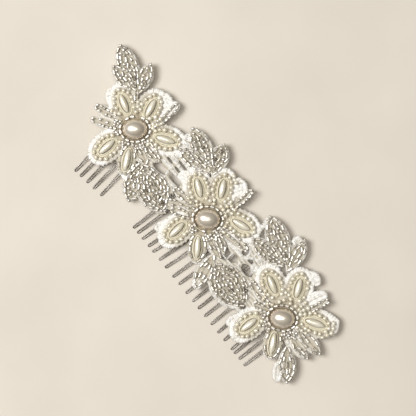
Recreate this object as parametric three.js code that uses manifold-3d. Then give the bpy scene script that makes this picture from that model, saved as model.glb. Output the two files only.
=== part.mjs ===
// A bridal hair comb: one lace applique with three beaded flowers, sewn over two silver wire combs.
//
// Millimetres, +Z up. The comb lies with its decorated side up: +X runs along the row of flowers, the teeth
// point to -Y, and the origin is under the middle of the whole comb, on the surface that it lies on.

import * as THREE from "three";
import { mergeVertices } from "three/addons/utils/BufferGeometryUtils.js";
import Module from "manifold-3d";

const wasm = await Module();
wasm.setup();

// ---------------------------------------------------------------- driving dimensions

const WIRE_RADIUS = 0.3;
const SPINE_RADIUS = 0.6;
const HOOK_CLEARANCE = 0.1;
const TOOTH_HALF_GAP = 0.55;
const TOOTH_TIP_HALF_GAP = 0.42;

const LACE_BOTTOM = 2.9;
const LACE_THICKNESS = 0.6;
const LACE_MARGIN = 0.9;
const TRIM_GAP = 0.1;
const BEAD_TOLERANCE = 0.01;
const LACE_TOLERANCE = 0.06;

const SEED_RADIUS = 0.75;
const SEED_PITCH = 2.35;
const BUGLE_RADIUS = 0.5;
const BUGLE_PITCH = 1.75;
const LEAF_BEAD_RADIUS = 0.6;
const LEAF_BEAD_PITCH = 3.4;
const THREAD_RADIUS = 0.18;

const CENTRE_PEARL = { length: 10, width: 8, height: 4.8 };
const OAT_PEARL = { length: 7.8, width: 2.6 };
const SLIM_OAT_PEARL = { length: 8.8, width: 2.6 };
const BEAD_RING = { halfLength: 6.2, halfWidth: 5.3 };
const SEED_OVAL = { halfLength: 5.9, halfWidth: 3.7 };
const SLIM_OVAL = { halfLength: 5.6, halfWidth: 3.0 };
const PETAL_LACE = { halfLength: 8.6, halfWidth: 6.2 };
const SLIM_PETAL_LACE = { halfLength: 6.6, halfWidth: 4.0 };
const FLOWER_LACE_RADIUS = 8.2;

const SEED_START_RADIUS = 7.9;
const SLIM_START_RADIUS = 7.3;
const LINK_HEIGHT = 0.85;
const LINK_RADIUS = 8.3;

// Heights that follow from them.
const HOOK_RADIUS = SPINE_RADIUS + HOOK_CLEARANCE + WIRE_RADIUS;
const SPINE_AXIS = HOOK_RADIUS + WIRE_RADIUS;
const TOOTH_TOP = SPINE_AXIS + HOOK_RADIUS;
const TRIM_BASE = LACE_BOTTOM + LACE_THICKNESS + TRIM_GAP;

// Each wire comb: the place of its first tooth's root, its turn from +X, the pitch and length of its teeth,
// and how far each tooth's tip leans sideways, because the teeth of a worn wire comb are a little bent.
const COMBS = [
  {
    name: "long_comb", root: [-15.3, 5.6], turn: 0.7, pitch: 3.74, toothLength: 32.2,
    leans: [-0.2, -1.3, -2, -1.9, -2.8, -2.4, -2.1, -1.1, -1, -0.1,
      0.3, 0.3, 0.6, 1, 1.6, 1.9, 2.8, 1, 0.2, -0.2],
  },
  {
    name: "short_comb", root: [-52.2, 0.4], turn: 8.5, pitch: 3.41, toothLength: 31.8,
    leans: [0, -0.4, -0.2, 0, 0.6],
  },
];
const SPINE_OVERHANG = 2.4;

// Each flower: its centre, how far its centre pearl's length is turned from +X, and its petals. A petal has a
// bearing and reach from the centre, and the heading of its long axis. The fourth petal of each is slim.
// Its sprays are beaded stems, from the bead ring outwards.
const FLOWERS = [
  {
    centre: [-45.6, -1.3], pearlTurn: 52,
    petals: [[165, 11.2, 164], [105, 10.4, 114], [33, 12.9, 35], [-53, 12.7, -50], [-96, 13.3, -86]],
    sprays: [
      [[-51.4, -3.4], [-57, -5.6], [-62.6, -7.8]],
      [[-50, -5.6], [-54.6, -9.4], [-59.6, -12.2]],
      [[-43, 4], [-41.6, 10], [-43, 18]],
    ],
  },
  {
    centre: [0.6, -0.6], pearlTurn: 44,
    petals: [[158, 13, 155], [116, 13.4, 130], [42, 13.6, 21], [-58, 12, -43], [-109, 13.1, -84]],
    sprays: [
      [[-4.6, -1.4], [-11, -2.5], [-17.4, -3.5]],
      [[-4.4, -3], [-9.6, -5.9], [-14.8, -7.7]],
      [[-3.4, -4.6], [-7.2, -7.3], [-11.6, -9.4]],
      [[1.6, 4.6], [3.3, 12.6], [2.4, 20.4]],
      [[6, 0.6], [12.6, 2.6], [20, 2.4]],
    ],
  },
  {
    centre: [50.2, -1.5], pearlTurn: 44,
    petals: [[159, 14.1, 165], [114, 13.5, 127], [43, 13.2, 33], [-59, 10.9, -49], [-117, 13.8, -90]],
    sprays: [
      [[45, -2.4], [38, -2.7], [31, -2.4]],
      [[45, -4], [41.6, -5.6], [38.6, -6.8]],
      [[52, 3.6], [54.6, 9.6], [55.8, 17.4]],
    ],
  },
];
const SLIM_PETAL = 3;

// Each cluster of beaded leaves: its base, and its leaves. A leaf has its own stem end where it doesn't start
// at the base, its tip, its greatest width and its number of bead rows.
const LEAF_CLUSTERS = [
  {
    base: [-57.6, 8.4],
    leaves: [
      { tip: [-75.2, 15.6], width: 7, rows: 3 },
      { tip: [-69.6, 7.4], width: 4.6, rows: 2 },
      { tip: [-61.8, 19.2], width: 4.4, rows: 2 },
    ],
  },
  {
    base: [-13.6, 12.2],
    leaves: [
      { tip: [-30.6, 17.2], width: 7, rows: 3 },
      { tip: [-27.2, 7.6], width: 5.6, rows: 3 },
      { tip: [-18.4, 22], width: 5, rows: 2 },
    ],
  },
  {
    base: [-32.5, -6.6],
    leaves: [
      { tip: [-13.9, -13.2], width: 10, rows: 4 },
      { tip: [-24.8, -20.2], width: 5.6, rows: 2 },
      { stem: [-39.4, -1.8], tip: [-29.6, -1.6], width: 3, rows: 2 },
      { tip: [-39.4, -5], width: 2.8, rows: 2 },
    ],
  },
  {
    base: [35, 12.2],
    leaves: [
      { tip: [15.2, 18.8], width: 7, rows: 3 },
      { tip: [19.2, 8.6], width: 6, rows: 3 },
      { tip: [31.2, 23.8], width: 5, rows: 2 },
    ],
  },
  {
    base: [37.2, -10],
    leaves: [
      { tip: [18.2, -7.2], width: 9.6, rows: 4 },
      { stem: [14, -8.4], tip: [18.6, -20.4], width: 4.8, rows: 2 },
      { stem: [15.2, -6.6], tip: [7, -5], width: 2.6, rows: 2 },
      { stem: [14.8, -3.6], tip: [8, -1.2], width: 2.6, rows: 2 },
    ],
  },
  {
    base: [59, -3],
    leaves: [
      { stem: [58.4, 0.4], tip: [70.2, 1.4], width: 3.6, rows: 2 },
      { tip: [68.6, -3.8], width: 3.2, rows: 2 },
      { stem: [60.6, -7.4], tip: [71.2, -15.6], width: 5.6, rows: 3 },
    ],
  },
];

// The lace between the flowers, as ovals: centre, half sizes and turn.
const LACE_WEBS = [
  [-23.5, 3, 13, 7.5, 4],
  [-21.5, -9.4, 10.5, 6.4, -18],
  [26.5, 3, 15.5, 7.6, -4],
  [27, -9.6, 13, 7.4, 6],
  [-62, 2.6, 6, 2.6, 8],
  [-10.6, -6.6, 5, 3, 20],
  [61, -4.2, 7, 3, -4],
  [-35.5, -4.6, 5.4, 4, 0],
  [9.8, -3.8, 6, 4, -14],
];
// Small lobes at the edge of the lace.
const LACE_LOBES = [
  [-43, 15.4, 2.6, 3.6, 0],
  [-47.3, 15.6, 3.4, 2.6, 0],
  [-34, -15.2, 2.4, 1.8, -40],
  [-1.4, 17.2, 4.2, 3.2, -25],
  [29.6, 22.2, 2, 2.2, 0],
  [18.4, -20, 2.2, 2, 0],
  [52.6, 14.4, 2.8, 4.4, -12],
  [65.2, 11.8, 4, 3.6, 0],
  [65.4, -16.6, 1.8, 4.6, 44],
];
// The openings between the lace bars.
const LACE_HOLES = [
  [-27, -3, 3.2, 1.4, 12],
  [-20, -1.1, 3.3, 1.2, 0],
  [-27.2, 2.1, 1.6, 0.5, 0],
  [-22.3, 2.1, 1.6, 0.5, 0],
  [-22.3, 4.8, 2.5, 0.5, 0],
  [-27, 11.5, 1.5, 1, 0],
  [-17.6, -10.3, 1, 0.7, 0],
  [-15.2, -6.3, 1.3, 0.8, 0],
  [15.8, -2.5, 1.6, 1, 0],
  [19.5, -2, 1.7, 1.6, 0],
  [20.4, 3.2, 1.2, 1.5, 0],
  [24.4, 2.6, 1.6, 0.8, 0],
  [26.6, -0.8, 3, 1.6, 0],
  [19.5, 14.2, 1.3, 1.1, 0],
  [32.2, -6.5, 1.2, 0.8, 0],
  [36.3, -11.1, 1.7, 1.1, 0],
];

const SILVER_WIRE = new THREE.MeshStandardMaterial({ color: 0x8f8a82, roughness: 0.35, metalness: 1 });
const WHITE_LACE = new THREE.MeshStandardMaterial({ color: 0xf3efe7, roughness: 0.9, metalness: 0 });
const IVORY_PEARL = new THREE.MeshStandardMaterial({ color: 0xeee3cf, roughness: 0.2, metalness: 0 });
const CHAMPAGNE_PEARL = new THREE.MeshStandardMaterial({ color: 0xc9b9a4, roughness: 0.15, metalness: 0 });
const SILVER_BEAD = new THREE.MeshStandardMaterial({ color: 0xb9b4ab, roughness: 0.25, metalness: 0.6 });

// ---------------------------------------------------------------- geometry helpers

const radians = THREE.MathUtils.degToRad;

/** The point at a distance and bearing, in degrees, from a centre. */
function offset([x, y], bearing, distance) {
  return [x + distance * Math.cos(radians(bearing)), y + distance * Math.sin(radians(bearing))];
}

/** A path stepped from one of its points to the next, so that a straight stretch takes a single step. */
class SteppedPath extends THREE.Curve {
  constructor(points) {
    super();
    this.points = points;
  }

  getPoint(t) {
    const place = Math.min(Math.max(t, 0), 1) * (this.points.length - 1);
    const index = Math.min(Math.floor(place), this.points.length - 2);
    return this.points[index].clone().lerp(this.points[index + 1], place - index);
  }

  getUtoTmapping(u) {
    return u;
  }
}

/** A regular polygon, as the section of a wire or a bead. */
function roundSection(radius, sides) {
  const corners = [];
  for (let side = 0; side < sides; side += 1) {
    const angle = (side / sides) * 2 * Math.PI;
    corners.push(new THREE.Vector2(radius * Math.cos(angle), radius * Math.sin(angle)));
  }
  return new THREE.Shape(corners);
}

/** A closed rod along a list of points. */
function rod(points, radius, sides) {
  return new THREE.ExtrudeGeometry(roundSection(radius, sides), {
    steps: points.length - 1,
    extrudePath: new SteppedPath(points),
  });
}

/** Moves each ring of a rod's corners out or in, so that the rod has its own radius at each point. */
function swell(geometry, points, radii, rodRadius) {
  const places = geometry.getAttribute("position");
  const corner = new THREE.Vector3();
  for (let index = 0; index < places.count; index += 1) {
    corner.fromBufferAttribute(places, index);
    const distances = points.map((point) => point.distanceTo(corner));
    const nearest = distances.indexOf(Math.min(...distances));
    corner.sub(points[nearest]).multiplyScalar(radii[nearest] / rodRadius).add(points[nearest]);
    places.setXYZ(index, corner.x, corner.y, corner.z);
  }
  return geometry;
}

/** Beads threaded along a curve, joined by their thread into one closed body. */
function beadString(curve, beadRadius, pitch, sides) {
  const steps = 2 * Math.max(2, Math.round(curve.getLength() / pitch));
  const points = [];
  const radii = [];
  for (let step = 0; step <= steps; step += 1) {
    points.push(curve.getPointAt(step / steps));
    radii.push(step % 2 === 1 ? beadRadius : THREAD_RADIUS);
  }
  return swell(rod(points, THREAD_RADIUS, sides), points, radii, THREAD_RADIUS);
}

/** A part of an ellipse at one height, as a curve through space. Angles are in degrees from its long axis. */
function ovalCurve([x, y], z, { halfLength, halfWidth }, turn, from, to) {
  const ellipse = new THREE.EllipseCurve(
    x, y, halfLength, halfWidth, radians(from), radians(to), false, radians(turn));
  const points = ellipse.getPoints(48).map((point) => new THREE.Vector3(point.x, point.y, z));
  return new THREE.CatmullRomCurve3(points);
}

/** A smooth curve at one height through a few points. */
function flatCurve(places, z) {
  return new THREE.CatmullRomCurve3(places.map(([x, y]) => new THREE.Vector3(x, y, z)));
}

/** An oval plate outline. */
function ovalShape([x, y], halfLength, halfWidth, turn) {
  const shape = new THREE.Shape();
  shape.absellipse(x, y, halfLength, halfWidth, 0, 2 * Math.PI, false, radians(turn));
  return shape;
}

/** A leaf outline: two arcs from the base to the tip and back. */
function leafShape(base, tip, width) {
  const [left, right] = [leafControl(base, tip, width), leafControl(base, tip, -width)];
  const shape = new THREE.Shape();
  shape.moveTo(...base);
  shape.quadraticCurveTo(...left, ...tip);
  shape.quadraticCurveTo(...right, ...base);
  return shape;
}

/** The control point that bows an arc from base to tip by half the width to one side. */
function leafControl([x1, y1], [x2, y2], width) {
  const length = Math.hypot(x2 - x1, y2 - y1);
  return [(x1 + x2) / 2 - ((y2 - y1) / length) * width, (y1 + y2) / 2 + ((x2 - x1) / length) * width];
}

/** A plate of lace, from its outline. */
function plate(shape, bottom, thickness, curveSegments) {
  const geometry = new THREE.ExtrudeGeometry(shape, { depth: thickness, bevelEnabled: false, curveSegments });
  return geometry.translate(0, 0, bottom);
}

/** A closed geometry as a solid that can be joined or cut. */
function solid(geometry) {
  const bare = geometry.clone();
  bare.deleteAttribute("normal");
  bare.deleteAttribute("uv");
  const welded = mergeVertices(bare, 1e-4);
  return new wasm.Manifold(new wasm.Mesh({
    numProp: 3,
    vertProperties: new Float32Array(welded.getAttribute("position").array),
    triVerts: new Uint32Array(welded.getIndex().array),
  }));
}

/** A solid as a geometry again, without the corners that its flat faces and straight edges don't need. */
function toGeometry(body, tolerance) {
  const mesh = body.asOriginal().simplify(tolerance).getMesh();
  const geometry = new THREE.BufferGeometry();
  geometry.setAttribute("position", new THREE.BufferAttribute(new Float32Array(mesh.vertProperties), 3));
  geometry.setIndex(new THREE.BufferAttribute(new Uint32Array(mesh.triVerts), 1));
  return geometry;
}

/** Several closed geometries joined into one solid. */
function join(geometries) {
  return geometries.map(solid).reduce((whole, piece) => whole.add(piece));
}

/** A named mesh. */
function named(name, geometry, material) {
  const mesh = new THREE.Mesh(geometry, material);
  mesh.name = name;
  return mesh;
}

// ---------------------------------------------------------------- wire combs

/** One leg of a tooth, from the end of its hook, round the spine and down to where the tip turns. */
function toothLeg(side, length) {
  const points = [];
  for (const angle of [-140, -82, -25, 33, 90]) {
    const y = HOOK_RADIUS * Math.cos(radians(angle));
    const z = SPINE_AXIS + HOOK_RADIUS * Math.sin(radians(angle));
    points.push(new THREE.Vector3(side * TOOTH_HALF_GAP, y, z));
  }
  for (const share of [0.45, 0.8]) {
    const drop = (TOOTH_TOP - WIRE_RADIUS) * share * share;
    const halfGap = THREE.MathUtils.lerp(TOOTH_HALF_GAP, TOOTH_TIP_HALF_GAP, share);
    points.push(new THREE.Vector3(side * halfGap, -share * length, TOOTH_TOP - drop));
  }
  return points;
}

/** The half turn of wire at a tooth's tip. */
function toothTip(length) {
  const points = [];
  for (const angle of [0, 45, 90, 135, 180]) {
    const x = TOOTH_TIP_HALF_GAP * Math.cos(radians(angle));
    const y = -length + WIRE_RADIUS + TOOTH_TIP_HALF_GAP * (1 - Math.sin(radians(angle)));
    points.push(new THREE.Vector3(x, y, WIRE_RADIUS));
  }
  return points;
}

/** A hairpin of wire, hooked round the spine at both ends. Its root is on the spine's axis, at its own x = 0. */
function toothGeometry(length) {
  const points = [...toothLeg(1, length), ...toothTip(length), ...toothLeg(-1, length).reverse()];
  return rod(points, WIRE_RADIUS, 5);
}

/** A spine bar with its row of teeth. */
function wireComb({ name, root, turn, pitch, toothLength, leans }) {
  const comb = new THREE.Group();
  comb.position.set(root[0], root[1], 0);
  comb.rotation.z = radians(turn);

  const rowLength = pitch * (leans.length - 1);
  const bar = new THREE.CylinderGeometry(SPINE_RADIUS, SPINE_RADIUS, rowLength + 2 * SPINE_OVERHANG, 12);
  const spine = named(`${name}_spine`, bar, SILVER_WIRE);
  spine.rotation.z = Math.PI / 2;
  spine.position.set(rowLength / 2, 0, SPINE_AXIS);
  comb.add(spine);

  leans.forEach((lean, index) => {
    const number = String(index + 1).padStart(String(leans.length).length, "0");
    const length = Math.hypot(toothLength, lean);
    const tooth = named(`${name}_tooth_${number}`, toothGeometry(length), SILVER_WIRE);
    tooth.position.x = index * pitch;
    tooth.rotation.z = Math.atan2(lean, toothLength);
    comb.add(tooth);
  });
  return comb;
}

// ---------------------------------------------------------------- flowers

/** A half oval pearl with a flat back. */
function centrePearlGeometry() {
  const profile = [new THREE.Vector2(0, 0), new THREE.Vector2(0.94, 0)];
  for (let step = 0; step < 5; step += 1) {
    const angle = (step / 5) * (Math.PI / 2);
    profile.push(new THREE.Vector2(Math.cos(angle), 0.16 + 0.84 * Math.sin(angle)));
  }
  profile.push(new THREE.Vector2(0, 1));
  const pearl = new THREE.LatheGeometry(profile, 16).rotateX(Math.PI / 2);
  return pearl.scale(CENTRE_PEARL.length / 2, CENTRE_PEARL.width / 2, CENTRE_PEARL.height);
}

/** A long oval pearl, lying along X. */
function oatPearlGeometry({ length, width }) {
  const profile = [];
  for (let step = 0; step <= 6; step += 1) {
    const angle = (step / 6) * Math.PI - Math.PI / 2;
    const radius = (width / 2) * Math.max(0, Math.cos(angle)) ** 0.85;
    profile.push(new THREE.Vector2(radius, (length / 2) * Math.sin(angle)));
  }
  profile[0].x = 0;
  profile[6].x = 0;
  return new THREE.LatheGeometry(profile, 8).rotateZ(-Math.PI / 2);
}

/** How far round from its outer end a petal's oval runs before it comes within a radius of the flower. */
function openAngle(reach, oval, radius) {
  const inward = Math.min((reach - radius) / oval.halfLength, 0.95);
  return THREE.MathUtils.radToDeg(Math.acos(-inward));
}

/** The oval curve round a petal's long pearl, open towards the flower's centre. */
function petalCurve(centre, [bearing, reach, heading], oval, startRadius, z) {
  const open = openAngle(reach, oval, startRadius);
  return ovalCurve(offset(centre, bearing, reach), z, oval, heading, -open, open);
}

/** A thread that climbs over the sprays, from the end of one petal's string to the start of the next. */
function petalLink(centre, from, to) {
  const points = [from.clone()];
  for (const share of [0.2, 0.5, 0.8]) {
    const point = from.clone().lerp(to, share);
    const away = new THREE.Vector2(point.x - centre[0], point.y - centre[1]);
    away.setLength(Math.max(away.length(), LINK_RADIUS));
    points.push(new THREE.Vector3(centre[0] + away.x, centre[1] + away.y, point.z + LINK_HEIGHT));
  }
  points.push(to.clone());
  return rod(points, THREAD_RADIUS, 5);
}

/** The seed pearls round the four wide petals, on one thread that runs from the last petal to the third. */
function seedPearls({ centre, petals }) {
  const z = TRIM_BASE + SEED_RADIUS;
  const order = [petals[4], petals[0], petals[1], petals[2]];
  const curves = order.map((petal) => petalCurve(centre, petal, SEED_OVAL, SEED_START_RADIUS, z));
  const strings = curves.map((curve) => beadString(curve, SEED_RADIUS, SEED_PITCH, 5));
  const links = [];
  for (let index = 0; index + 1 < curves.length; index += 1) {
    links.push(petalLink(centre, curves[index].getPoint(0), curves[index + 1].getPoint(1)));
  }
  return toGeometry(join([...strings, ...links]), BEAD_TOLERANCE);
}

/** The silver bugle beads round the centre pearl and the slim petal, with the flower's sprays. */
function silverBeads({ centre, pearlTurn, petals, sprays }) {
  const z = TRIM_BASE + BUGLE_RADIUS;
  const ring = ovalCurve(centre, z, BEAD_RING, pearlTurn, 0, 359);
  const slim = petalCurve(centre, petals[SLIM_PETAL], SLIM_OVAL, SLIM_START_RADIUS, z);
  const strings = [ring, slim].map((curve) => beadString(curve, BUGLE_RADIUS, BUGLE_PITCH, 4));
  const stems = [0, 1].map((end) => {
    const start = slim.getPoint(end);
    const inward = new THREE.Vector2(centre[0] - start.x, centre[1] - start.y).setLength(2.2);
    return rod([start, new THREE.Vector3(start.x + inward.x, start.y + inward.y, z)], THREAD_RADIUS, 5);
  });
  const arms = sprays.map((spray) => beadString(flatCurve(spray, z), LEAF_BEAD_RADIUS, LEAF_BEAD_PITCH, 4));
  return toGeometry(join([...strings, ...stems, ...arms]), BEAD_TOLERANCE);
}

/** One flower: centre pearl, silver beads, five long pearls and the seed pearls round them. */
function flower(number, design) {
  const group = new THREE.Group();
  const { centre, pearlTurn, petals } = design;

  const pearl = named(`flower_${number}_centre_pearl`, centrePearlGeometry(), CHAMPAGNE_PEARL);
  pearl.position.set(centre[0], centre[1], TRIM_BASE + TRIM_GAP);
  pearl.rotation.z = radians(pearlTurn);
  group.add(pearl);

  petals.forEach(([bearing, reach, heading], index) => {
    const size = index === SLIM_PETAL ? SLIM_OAT_PEARL : OAT_PEARL;
    const oat = named(`flower_${number}_long_pearl_${index + 1}`, oatPearlGeometry(size), IVORY_PEARL);
    oat.position.set(...offset(centre, bearing, reach), TRIM_BASE + size.width / 2);
    oat.rotation.z = radians(heading);
    group.add(oat);
  });

  group.add(named(`flower_${number}_silver_beads`, silverBeads(design), SILVER_BEAD));
  group.add(named(`flower_${number}_seed_pearls`, seedPearls(design), IVORY_PEARL));
  return group;
}

// ---------------------------------------------------------------- beaded leaves

/** The bead rows of one leaf, side by side from its base to its tip. */
function leafRows(base, { stem, tip, width, rows }) {
  const z = TRIM_BASE + LEAF_BEAD_RADIUS;
  const start = stem ?? base;
  const strings = [];
  for (let row = 0; row < rows; row += 1) {
    const bow = width * ((2 * row) / (rows - 1) - 1);
    const middle = leafControl(start, tip, bow);
    const curve = new THREE.QuadraticBezierCurve3(
      new THREE.Vector3(...start, z), new THREE.Vector3(...middle, z), new THREE.Vector3(...tip, z));
    strings.push(beadString(curve, LEAF_BEAD_RADIUS, LEAF_BEAD_PITCH, 4));
  }
  return strings;
}

/** A cluster of beaded leaves on threads that meet at its base. */
function leafCluster(number, { base, leaves }) {
  const z = TRIM_BASE + LEAF_BEAD_RADIUS;
  const pieces = leaves.flatMap((leaf) => leafRows(base, leaf));
  for (const { stem, tip } of leaves.filter((leaf) => leaf.stem)) {
    const [near] = [leaves[0].tip, base].sort((a, b) => distance(a, stem) - distance(b, stem));
    pieces.push(rod([new THREE.Vector3(...near, z), new THREE.Vector3(...stem, z)], THREAD_RADIUS, 5));
  }
  return named(`leaf_beads_${number}`, toGeometry(join(pieces), BEAD_TOLERANCE), SILVER_BEAD);
}

function distance([x1, y1], [x2, y2]) {
  return Math.hypot(x2 - x1, y2 - y1);
}

// ---------------------------------------------------------------- lace

/** The lace under one flower: a disc, five petals and its sprays. */
function flowerLace({ centre, petals, sprays }) {
  const shapes = [ovalShape(centre, FLOWER_LACE_RADIUS, FLOWER_LACE_RADIUS, 0)];
  petals.forEach(([bearing, reach, heading], index) => {
    const { halfLength, halfWidth } = index === SLIM_PETAL ? SLIM_PETAL_LACE : PETAL_LACE;
    shapes.push(ovalShape(offset(centre, bearing, reach), halfLength, halfWidth, heading));
  });
  for (const spray of sprays) {
    shapes.push(lacedLeaf(spray[0], spray[2], 3.4));
  }
  return shapes;
}

/** A leaf outline with a margin of lace round its beads. */
function lacedLeaf(base, tip, width) {
  const length = distance(base, tip);
  const along = [(tip[0] - base[0]) / length, (tip[1] - base[1]) / length];
  const outerTip = [tip[0] + LACE_MARGIN * 2 * along[0], tip[1] + LACE_MARGIN * 2 * along[1]];
  const innerBase = [base[0] - LACE_MARGIN * along[0], base[1] - LACE_MARGIN * along[1]];
  return leafShape(innerBase, outerTip, width + 2 * LACE_MARGIN);
}

/** The whole applique: every outline joined into one plate, with the openings between its bars cut out. */
function laceGeometry() {
  const outlines = FLOWERS.flatMap(flowerLace);
  for (const { base, leaves } of LEAF_CLUSTERS) {
    for (const { stem, tip, width } of leaves) {
      outlines.push(lacedLeaf(stem ?? base, tip, width));
    }
  }
  for (const [x, y, halfLength, halfWidth, turn] of [...LACE_WEBS, ...LACE_LOBES]) {
    outlines.push(ovalShape([x, y], halfLength, halfWidth, turn));
  }
  const sheet = join(outlines.map((shape) => plate(shape, LACE_BOTTOM, LACE_THICKNESS, 8)));
  const holes = LACE_HOLES.map(([x, y, halfLength, halfWidth, turn]) => {
    return plate(ovalShape([x, y], halfLength, halfWidth, turn), LACE_BOTTOM - 1, LACE_THICKNESS + 2, 5);
  });
  return toGeometry(sheet.subtract(join(holes)), LACE_TOLERANCE);
}

// ---------------------------------------------------------------- assembly

const hairComb = new THREE.Group();
COMBS.forEach((comb) => hairComb.add(wireComb(comb)));
hairComb.add(named("lace_applique", laceGeometry(), WHITE_LACE));
FLOWERS.forEach((design, index) => hairComb.add(flower(index + 1, design)));
LEAF_CLUSTERS.forEach((cluster, index) => hairComb.add(leafCluster(index + 1, cluster)));

// The whole comb is moved so that the origin is under its middle, on the surface that it lies on.
hairComb.updateMatrixWorld(true);
const box = new THREE.Box3().setFromObject(hairComb, true);
const middle = box.getCenter(new THREE.Vector3());
hairComb.position.set(-middle.x, -middle.y, -box.min.z);

export default hairComb;
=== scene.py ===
"""A bridal hair comb: white lace, pearls and silver-lined beads, sewn over two silver wire combs."""
import math

import bpy
import numpy as np
from mathutils import Matrix, Vector


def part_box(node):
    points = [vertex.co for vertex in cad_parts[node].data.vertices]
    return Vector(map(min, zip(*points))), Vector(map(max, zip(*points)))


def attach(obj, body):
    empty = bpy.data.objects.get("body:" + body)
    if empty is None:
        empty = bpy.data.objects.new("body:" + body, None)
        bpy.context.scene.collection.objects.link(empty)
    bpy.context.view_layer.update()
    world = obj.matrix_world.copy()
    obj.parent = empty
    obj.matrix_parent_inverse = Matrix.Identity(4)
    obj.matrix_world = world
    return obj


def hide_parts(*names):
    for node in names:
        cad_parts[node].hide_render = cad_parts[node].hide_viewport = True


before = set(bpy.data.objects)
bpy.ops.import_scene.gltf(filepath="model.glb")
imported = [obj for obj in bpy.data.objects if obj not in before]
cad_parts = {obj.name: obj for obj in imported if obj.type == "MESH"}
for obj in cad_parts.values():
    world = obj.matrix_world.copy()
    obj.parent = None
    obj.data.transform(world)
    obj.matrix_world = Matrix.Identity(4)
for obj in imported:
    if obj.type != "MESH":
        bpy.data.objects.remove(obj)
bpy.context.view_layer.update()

MM = 0.001
rng = np.random.default_rng(20)

# ------------------------------------------------------------------ places, worked out from the frame

# Drawn places are in millimetres, in the drawing's own axes, in which the middle flower is here.
DRAWN_MIDDLE = np.array([0.6, -0.6])


def box_mm(node):
    """A CAD node's lowest and highest corners, in millimetres."""
    return np.array([list(corner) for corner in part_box(node)]) / MM


def middle_mm(node):
    return box_mm(node).mean(axis=0)


SHIFT = middle_mm("flower_2_centre_pearl")[:2] - DRAWN_MIDDLE
LACE_BOTTOM = box_mm("lace_applique")[0][2]
TRIM_BASE = box_mm("flower_1_seed_pearls")[0][2]


def points_mm(node):
    """All corners of a CAD node, in millimetres."""
    return np.array([vertex.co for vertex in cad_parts[node].data.vertices]) / MM


def long_axis(node):
    """The middle of a long node, its direction in plan, and how far it runs each way along it."""
    points = points_mm(node)
    corners = np.unique(points.round(3), axis=0)[:, :2]
    middle = corners.mean(axis=0)
    _, _, axes = np.linalg.svd(corners - middle)
    along = (corners - middle) @ axes[0]
    return middle, axes[0], along.min(), along.max()


# ------------------------------------------------------------------ the drawing

# Each flower: its petals, as bearing, reach and heading from its centre. The fourth petal is slim.
FLOWER_PETALS = {
    1: [(165, 11.2, 164), (105, 10.4, 114), (33, 12.9, 35), (-53, 12.7, -50), (-96, 13.3, -86)],
    2: [(158, 13.0, 155), (116, 13.4, 130), (42, 13.6, 21), (-58, 12.0, -43), (-109, 13.1, -84)],
    3: [(159, 14.1, 165), (114, 13.5, 127), (43, 13.2, 33), (-59, 10.9, -49), (-117, 13.8, -90)],
}
SLIM_PETAL = 3
PEARL_TURN = {1: 52, 2: 44, 3: 44}
CENTRES = {number: middle_mm(f"flower_{number}_centre_pearl")[:2] for number in FLOWER_PETALS}

# The part of each petal's rim that is worked in bright satin, in degrees round from its outer end.
SATIN_SIDES = {
    1: [(-20, 110), (-150, 40), (-120, 70), (-50, 50), (-150, 50)],
    2: [(-60, 85), (-150, 50), (-120, 80), (-50, 50), (-150, 40)],
    3: [(-60, 85), (-150, 80), (12, 75), (-50, 50), (-150, 50)],
}

# Half sizes of ovals: a wide and a slim petal's lace, the beads in each, and the ring round a centre pearl.
PETAL = (8.6, 6.2)
SLIM = (6.6, 4.0)
SEED_OVAL = (5.9, 3.7)
SLIM_OVAL = (5.6, 3.0)
BEAD_RING = (6.05, 5.1)
CENTRE_PEARL = (5.12, 4.12)
# The oval of painted shade on the lace under each centre pearl, the round bed of each flower and the width of
# a spray's bed.
CENTRE_PEARL_SHADE = (6.6, 5.7)
FLOWER_BED_RADIUS = 8.2
SPRAY_BED_WIDTH = 3.4

# Leaves: cluster, stem end, tip and greatest width.
LEAVES = [
    (1, (-57.4, 8.6), (-75.6, 14.8), 6.8),
    (1, (-58.0, 8.0), (-70.6, 7.4), 4.6),
    (1, (-56.4, 8.6), (-62.2, 19.6), 4.4),
    (2, (-13.6, 12.6), (-31.6, 17.0), 6.8),
    (2, (-13.8, 11.4), (-28.0, 8.0), 5.4),
    (2, (-12.4, 12.2), (-18.6, 22.8), 6.0),
    (3, (-32.0, -7.6), (-13.4, -13.2), 11.4),
    (3, (-33.4, -8.0), (-24.8, -20.8), 7.0),
    (3, (-39.8, -1.6), (-29.6, -1.7), 3.6),
    (3, (-31.6, -6.4), (-40.0, -5.0), 3.2),
    (4, (34.4, 13.4), (15.4, 19.6), 7.4),
    (4, (33.8, 11.6), (18.2, 8.8), 5.8),
    (4, (36.4, 12.0), (31.4, 24.4), 5.2),
    (5, (37.0, -10.2), (17.0, -10.0), 12.8),
    (5, (13.4, -7.6), (18.8, -21.0), 5.0),
    (5, (16.0, -6.4), (6.6, -4.8), 2.9),
    (5, (15.2, -3.6), (7.6, -1.1), 2.9),
    (6, (58.4, 0.4), (70.6, 1.4), 4.2),
    (6, (58.4, -3.4), (69.0, -3.6), 3.4),
    (6, (60.6, -7.2), (71.4, -16.0), 5.6),
]

SPRAYS = {
    1: [[(-51.4, -3.4), (-57, -5.6), (-62.6, -7.8)],
        [(-50, -5.6), (-54.6, -9.4), (-59.6, -12.2)],
        [(-43, 4), (-41.6, 10), (-43, 18)]],
    2: [[(-4.6, -1.4), (-11, -2.5), (-17.4, -3.5)],
        [(-4.4, -3), (-9.6, -5.9), (-14.8, -7.7)],
        [(-3.4, -4.6), (-7.2, -7.3), (-11.6, -9.4)],
        [(1.6, 4.6), (3.3, 12.6), (2.4, 20.4)],
        [(6, 1.0), (12.6, 3.2), (20.2, 3.8)]],
    3: [[(45, -2.4), (38, -2.7), (31, -2.4)],
        [(45, -4), (41.6, -5.6), (38.6, -6.8)],
        [(52, 3.6), (54.6, 9.6), (55.8, 17.4)]],
}

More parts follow.
